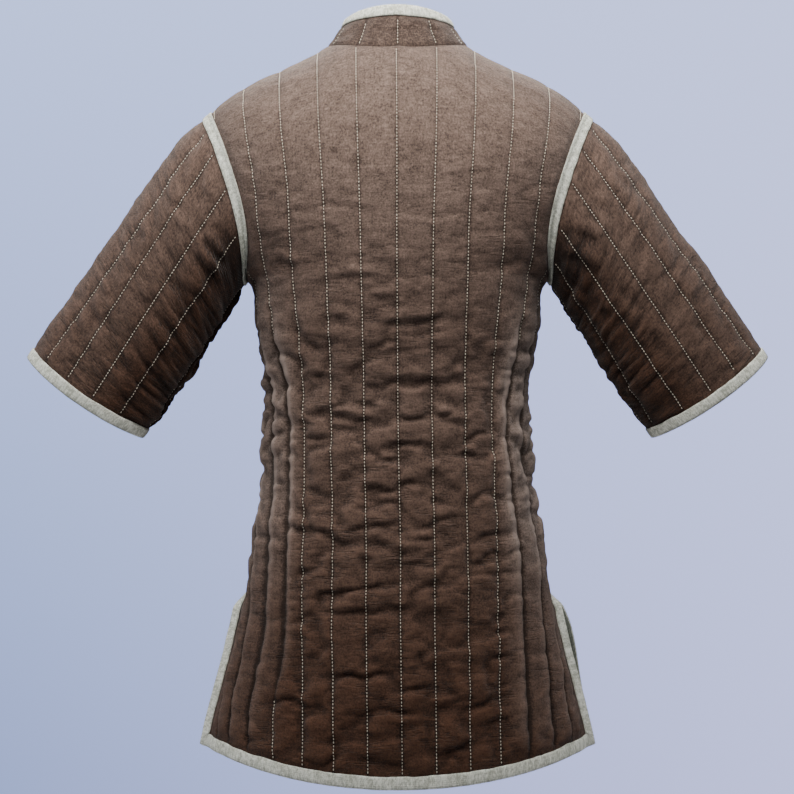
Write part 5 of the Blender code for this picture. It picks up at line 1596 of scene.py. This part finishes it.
# ---- tacks, buttons and loops ------------------------------------------------
def make_tack(word, side):
    """Turned end of the slit binding, sewn flat across the top of the slit."""
    z = np.linspace(SLIT_TOP + 0.0080, SLIT_TOP - 0.0004, 9)
    edge = reach("back", np.full_like(z, side), z)
    rings = []
    outward = np.array([side, 0.0, 0.0])
    for i, (zi, s) in enumerate(zip(z, edge)):
        wide = 0.0050 + 0.0004 * math.sin(2.3 * i)
        back = torso("back", np.array([side * (s - wide)]), np.array([zi]))[0]
        front = torso("front", np.array([side * (s - wide)]), np.array([zi]))[0]
        mid = torso("back", np.array([side * s]), np.array([zi]))[0] * np.array([1.0, 0.0, 1.0])
        end = 1.0 - 0.55 * abs(2.0 * i / 8.0 - 1.0) ** 6
        across = (back, 0.5 * (back + mid), mid, 0.5 * (front + mid), front)
        tall = 0.0012 + 0.0014 * end
        low = [p + outward * 0.0012 for p in across]
        rings.append(low + [p + outward * tall for p in across[::-1]])
    rings = np.array(rings)
    ring_piece("tack_" + word, rings, np.linspace(0.0, 0.009, 9), [TAPE_LOOK],
               ["slit_tack_" + word])


def make_button(number, z):
    """Cloth button on its thread shank, and the cord loop that goes round it."""
    x = FRONT_START + 0.5 * BIND_W
    place = torso("front", np.array([-x, x]), np.array([z, z]))
    n = torso_normal("front", np.array([-x, x]), np.array([z, z]))
    out = unit(n[0] * np.array([0.0, 1.0, 1.0]))
    up = np.array([0.0, -out[2], out[1]])
    right = np.array([1.0, 0.0, 0.0])
    foot = np.array([-x, max(place[0][1], place[1][1]), place[0][2]])
    foot = foot + out * (2.0 * GAP + BIND_T + 0.0004)
    profile = [(0.0, 0.0016), (0.0032, 0.0015), (0.0035, 0.45 * BUTTON_R), (0.0037, 0.80 * BUTTON_R),
               (0.0043, 0.97 * BUTTON_R), (0.0052, BUTTON_R)]
    for a in np.linspace(0.15, 1.0, 7):
        turn = 0.5 * math.pi * a
        profile.append((0.0052 + (BUTTON_H - 0.0006) * math.sin(turn),
                        BUTTON_R * math.cos(turn) ** 0.75 + 1e-5))
    around = 32
    rings = []
    for height, radius in profile:
        ring = []
        for i in range(around):
            a = 2.0 * math.pi * i / around
            pinch = 1.0 + 0.018 * math.sin(7.0 * a + number) * (radius > 0.5 * BUTTON_R)
            spoke = right * math.cos(a) + up * math.sin(a)
            ring.append(foot + out * height + radius * pinch * spoke)
        rings.append(ring)
    rings = np.array(rings)
    ring_piece("button_cloth_%d" % number, rings, np.linspace(0.0, 0.02, len(profile)), [BUTTON_LOOK],
               ["button_%d" % number])
    centre = foot + out * (CORD_R + 0.0003)
    far = 2.0 * x - 0.001
    leg = [(far + 0.0004, 0.0036), (0.8 * far, 0.0044), (0.5 * far, 0.0043), (0.25 * far, LOOP_R)]
    bend = [(LOOP_R * math.cos(a), LOOP_R * math.sin(a))
            for a in np.linspace(0.45, 1.55, 15) * math.pi]
    path = leg + bend + [(p, -r) for p, r in leg[::-1]]
    path = spaced(np.array([centre + right * p + up * r for p, r in path]), CORD_STEP)
    heading = unit(np.gradient(path, axis=0))
    across = unit(np.cross(heading, out))
    lift = unit(np.cross(across, heading))
    turn = np.linspace(0.0, 2.0 * math.pi, 13)[:-1]
    twist = np.arange(len(path))[:, None] * 0.55
    radius = CORD_R * (1.0 + 0.10 * np.cos(3.0 * (turn[None, :] - twist)))
    rings = path[:, None] + radius[..., None] * (across[:, None] * np.cos(turn)[None, :, None]
                                                 + lift[:, None] * np.sin(turn)[None, :, None])
    ring_piece("cord_loop_%d" % number, rings, np.arange(len(path)) * CORD_STEP, [CORD_LOOK],
               ["loop_%d" % number])


for word, side in (("right", 1.0), ("left", -1.0)):
    make_tack(word, side)
for number in range(BUTTONS):
    make_button(number + 1, BUTTON_TOP - BUTTON_STEP * number)


# ---- looking up objects by name ----------------------------------------------
def thing(name):
    """The object of that name."""
    return bpy.data.objects[name]


# ---- camera, light and surroundings ------------------------------------------
LENS = 87.05             # of the camera, in millimetres
CAMERA_PLACE = (-0.00075, -2.4, -0.436)
LAMP_AIM = (0.0, 0.0, -0.30)
FLOOR_Z = -1.25          # height of the floor, below the hanging coat
FLOOR_R = 1.10           # its radius
FLOOR_SIDES = 96

camera_data = bpy.data.cameras.new("camera")
camera_data.lens = LENS
camera_data.sensor_width = 36.0
camera = bpy.data.objects.new("camera", camera_data)
camera.location = CAMERA_PLACE
camera.rotation_euler = (math.radians(90.0), 0.0, 0.0)
bpy.context.scene.collection.objects.link(camera)
bpy.context.scene.camera = camera

# Place, size, power and colour of each lamp.
LAMPS = (
    ((0.00, 0.00, 0.80), 2.00, 26.0, (1.00, 0.98, 0.95)),
    ((0.00, -0.66, 0.50), 0.60, 17.0, (1.00, 0.98, 0.95)),
    ((0.00, 0.66, 0.50), 0.60, 17.0, (1.00, 0.98, 0.95)),
    ((-1.50, -0.50, 0.05), 0.80, 9.0, (0.95, 0.97, 1.00)),
    ((1.50, -0.50, 0.05), 0.80, 3.0, (0.95, 0.97, 1.00)),
    ((-1.50, 0.50, 0.05), 0.80, 5.0, (0.95, 0.97, 1.00)),
    ((1.50, 0.50, 0.05), 0.80, 5.0, (0.95, 0.97, 1.00)),
)
for n, (place, size, power, colour) in enumerate(LAMPS):
    data = bpy.data.lights.new("lamp_%d" % (n + 1), "AREA")
    data.shape = "DISK"
    data.size = size
    data.energy = power
    data.color = colour
    lamp = bpy.data.objects.new("lamp_%d" % (n + 1), data)
    lamp.location = place
    lamp.visible_camera = False
    aim = Vector(LAMP_AIM) - lamp.location
    lamp.rotation_euler = aim.to_track_quat("-Z", "Y").to_euler()
    bpy.context.scene.collection.objects.link(lamp)

world = bpy.data.worlds.new("studio")
world.use_nodes = True
bpy.context.scene.world = world
air = world.node_tree
ground = air.nodes["Background"]
facing = node(air, "ShaderNodeTexCoord").outputs["Generated"]
parts = node(air, "ShaderNodeSeparateXYZ", (("Vector", facing),))
across = spread(air, parts.outputs[0], -0.2, 0.2)
height = spread(air, parts.outputs[2], -0.2, 0.2)
low = blend(air, across, (0.40, 0.52, 0.98, 1.0), (0.80, 0.86, 1.50, 1.0))
high = blend(air, across, (0.76, 0.94, 1.62, 1.0), (0.90, 1.04, 1.72, 1.0))
seen = blend(air, height, low, high)
eye = node(air, "ShaderNodeLightPath").outputs["Is Camera Ray"]
tint = blend(air, eye, (0.62, 0.66, 0.74, 1.0), seen)
air.links.new(tint, ground.inputs["Color"])
air.links.new(spread(air, eye, 0.0, 1.0, 0.085, 1.0), ground.inputs["Strength"])

turn = np.linspace(0.0, 2.0 * math.pi, FLOOR_SIDES + 1)[:-1]
rim = [(FLOOR_R * math.cos(a), FLOOR_R * math.sin(a), FLOOR_Z) for a in turn]
disc = bpy.data.meshes.new("floor_mesh")
disc.from_pydata(rim, [], [tuple(range(FLOOR_SIDES))])
floor = bpy.data.objects.new("floor", disc)
bpy.context.scene.collection.objects.link(floor)
pale = bpy.data.materials.new("pale_floor")
pale.use_nodes = True
tree = pale.node_tree
speckle = grain(tree, node(tree, "ShaderNodeTexCoord").outputs["Object"], (8.0, 8.0, 8.0))
finish = tree.nodes["Principled BSDF"]
tree.links.new(blend(tree, speckle, (0.62, 0.63, 0.66, 1.0), (0.68, 0.69, 0.72, 1.0)),
               finish.inputs["Base Color"])
finish.inputs["Roughness"].default_value = 0.85
disc.materials.append(pale)
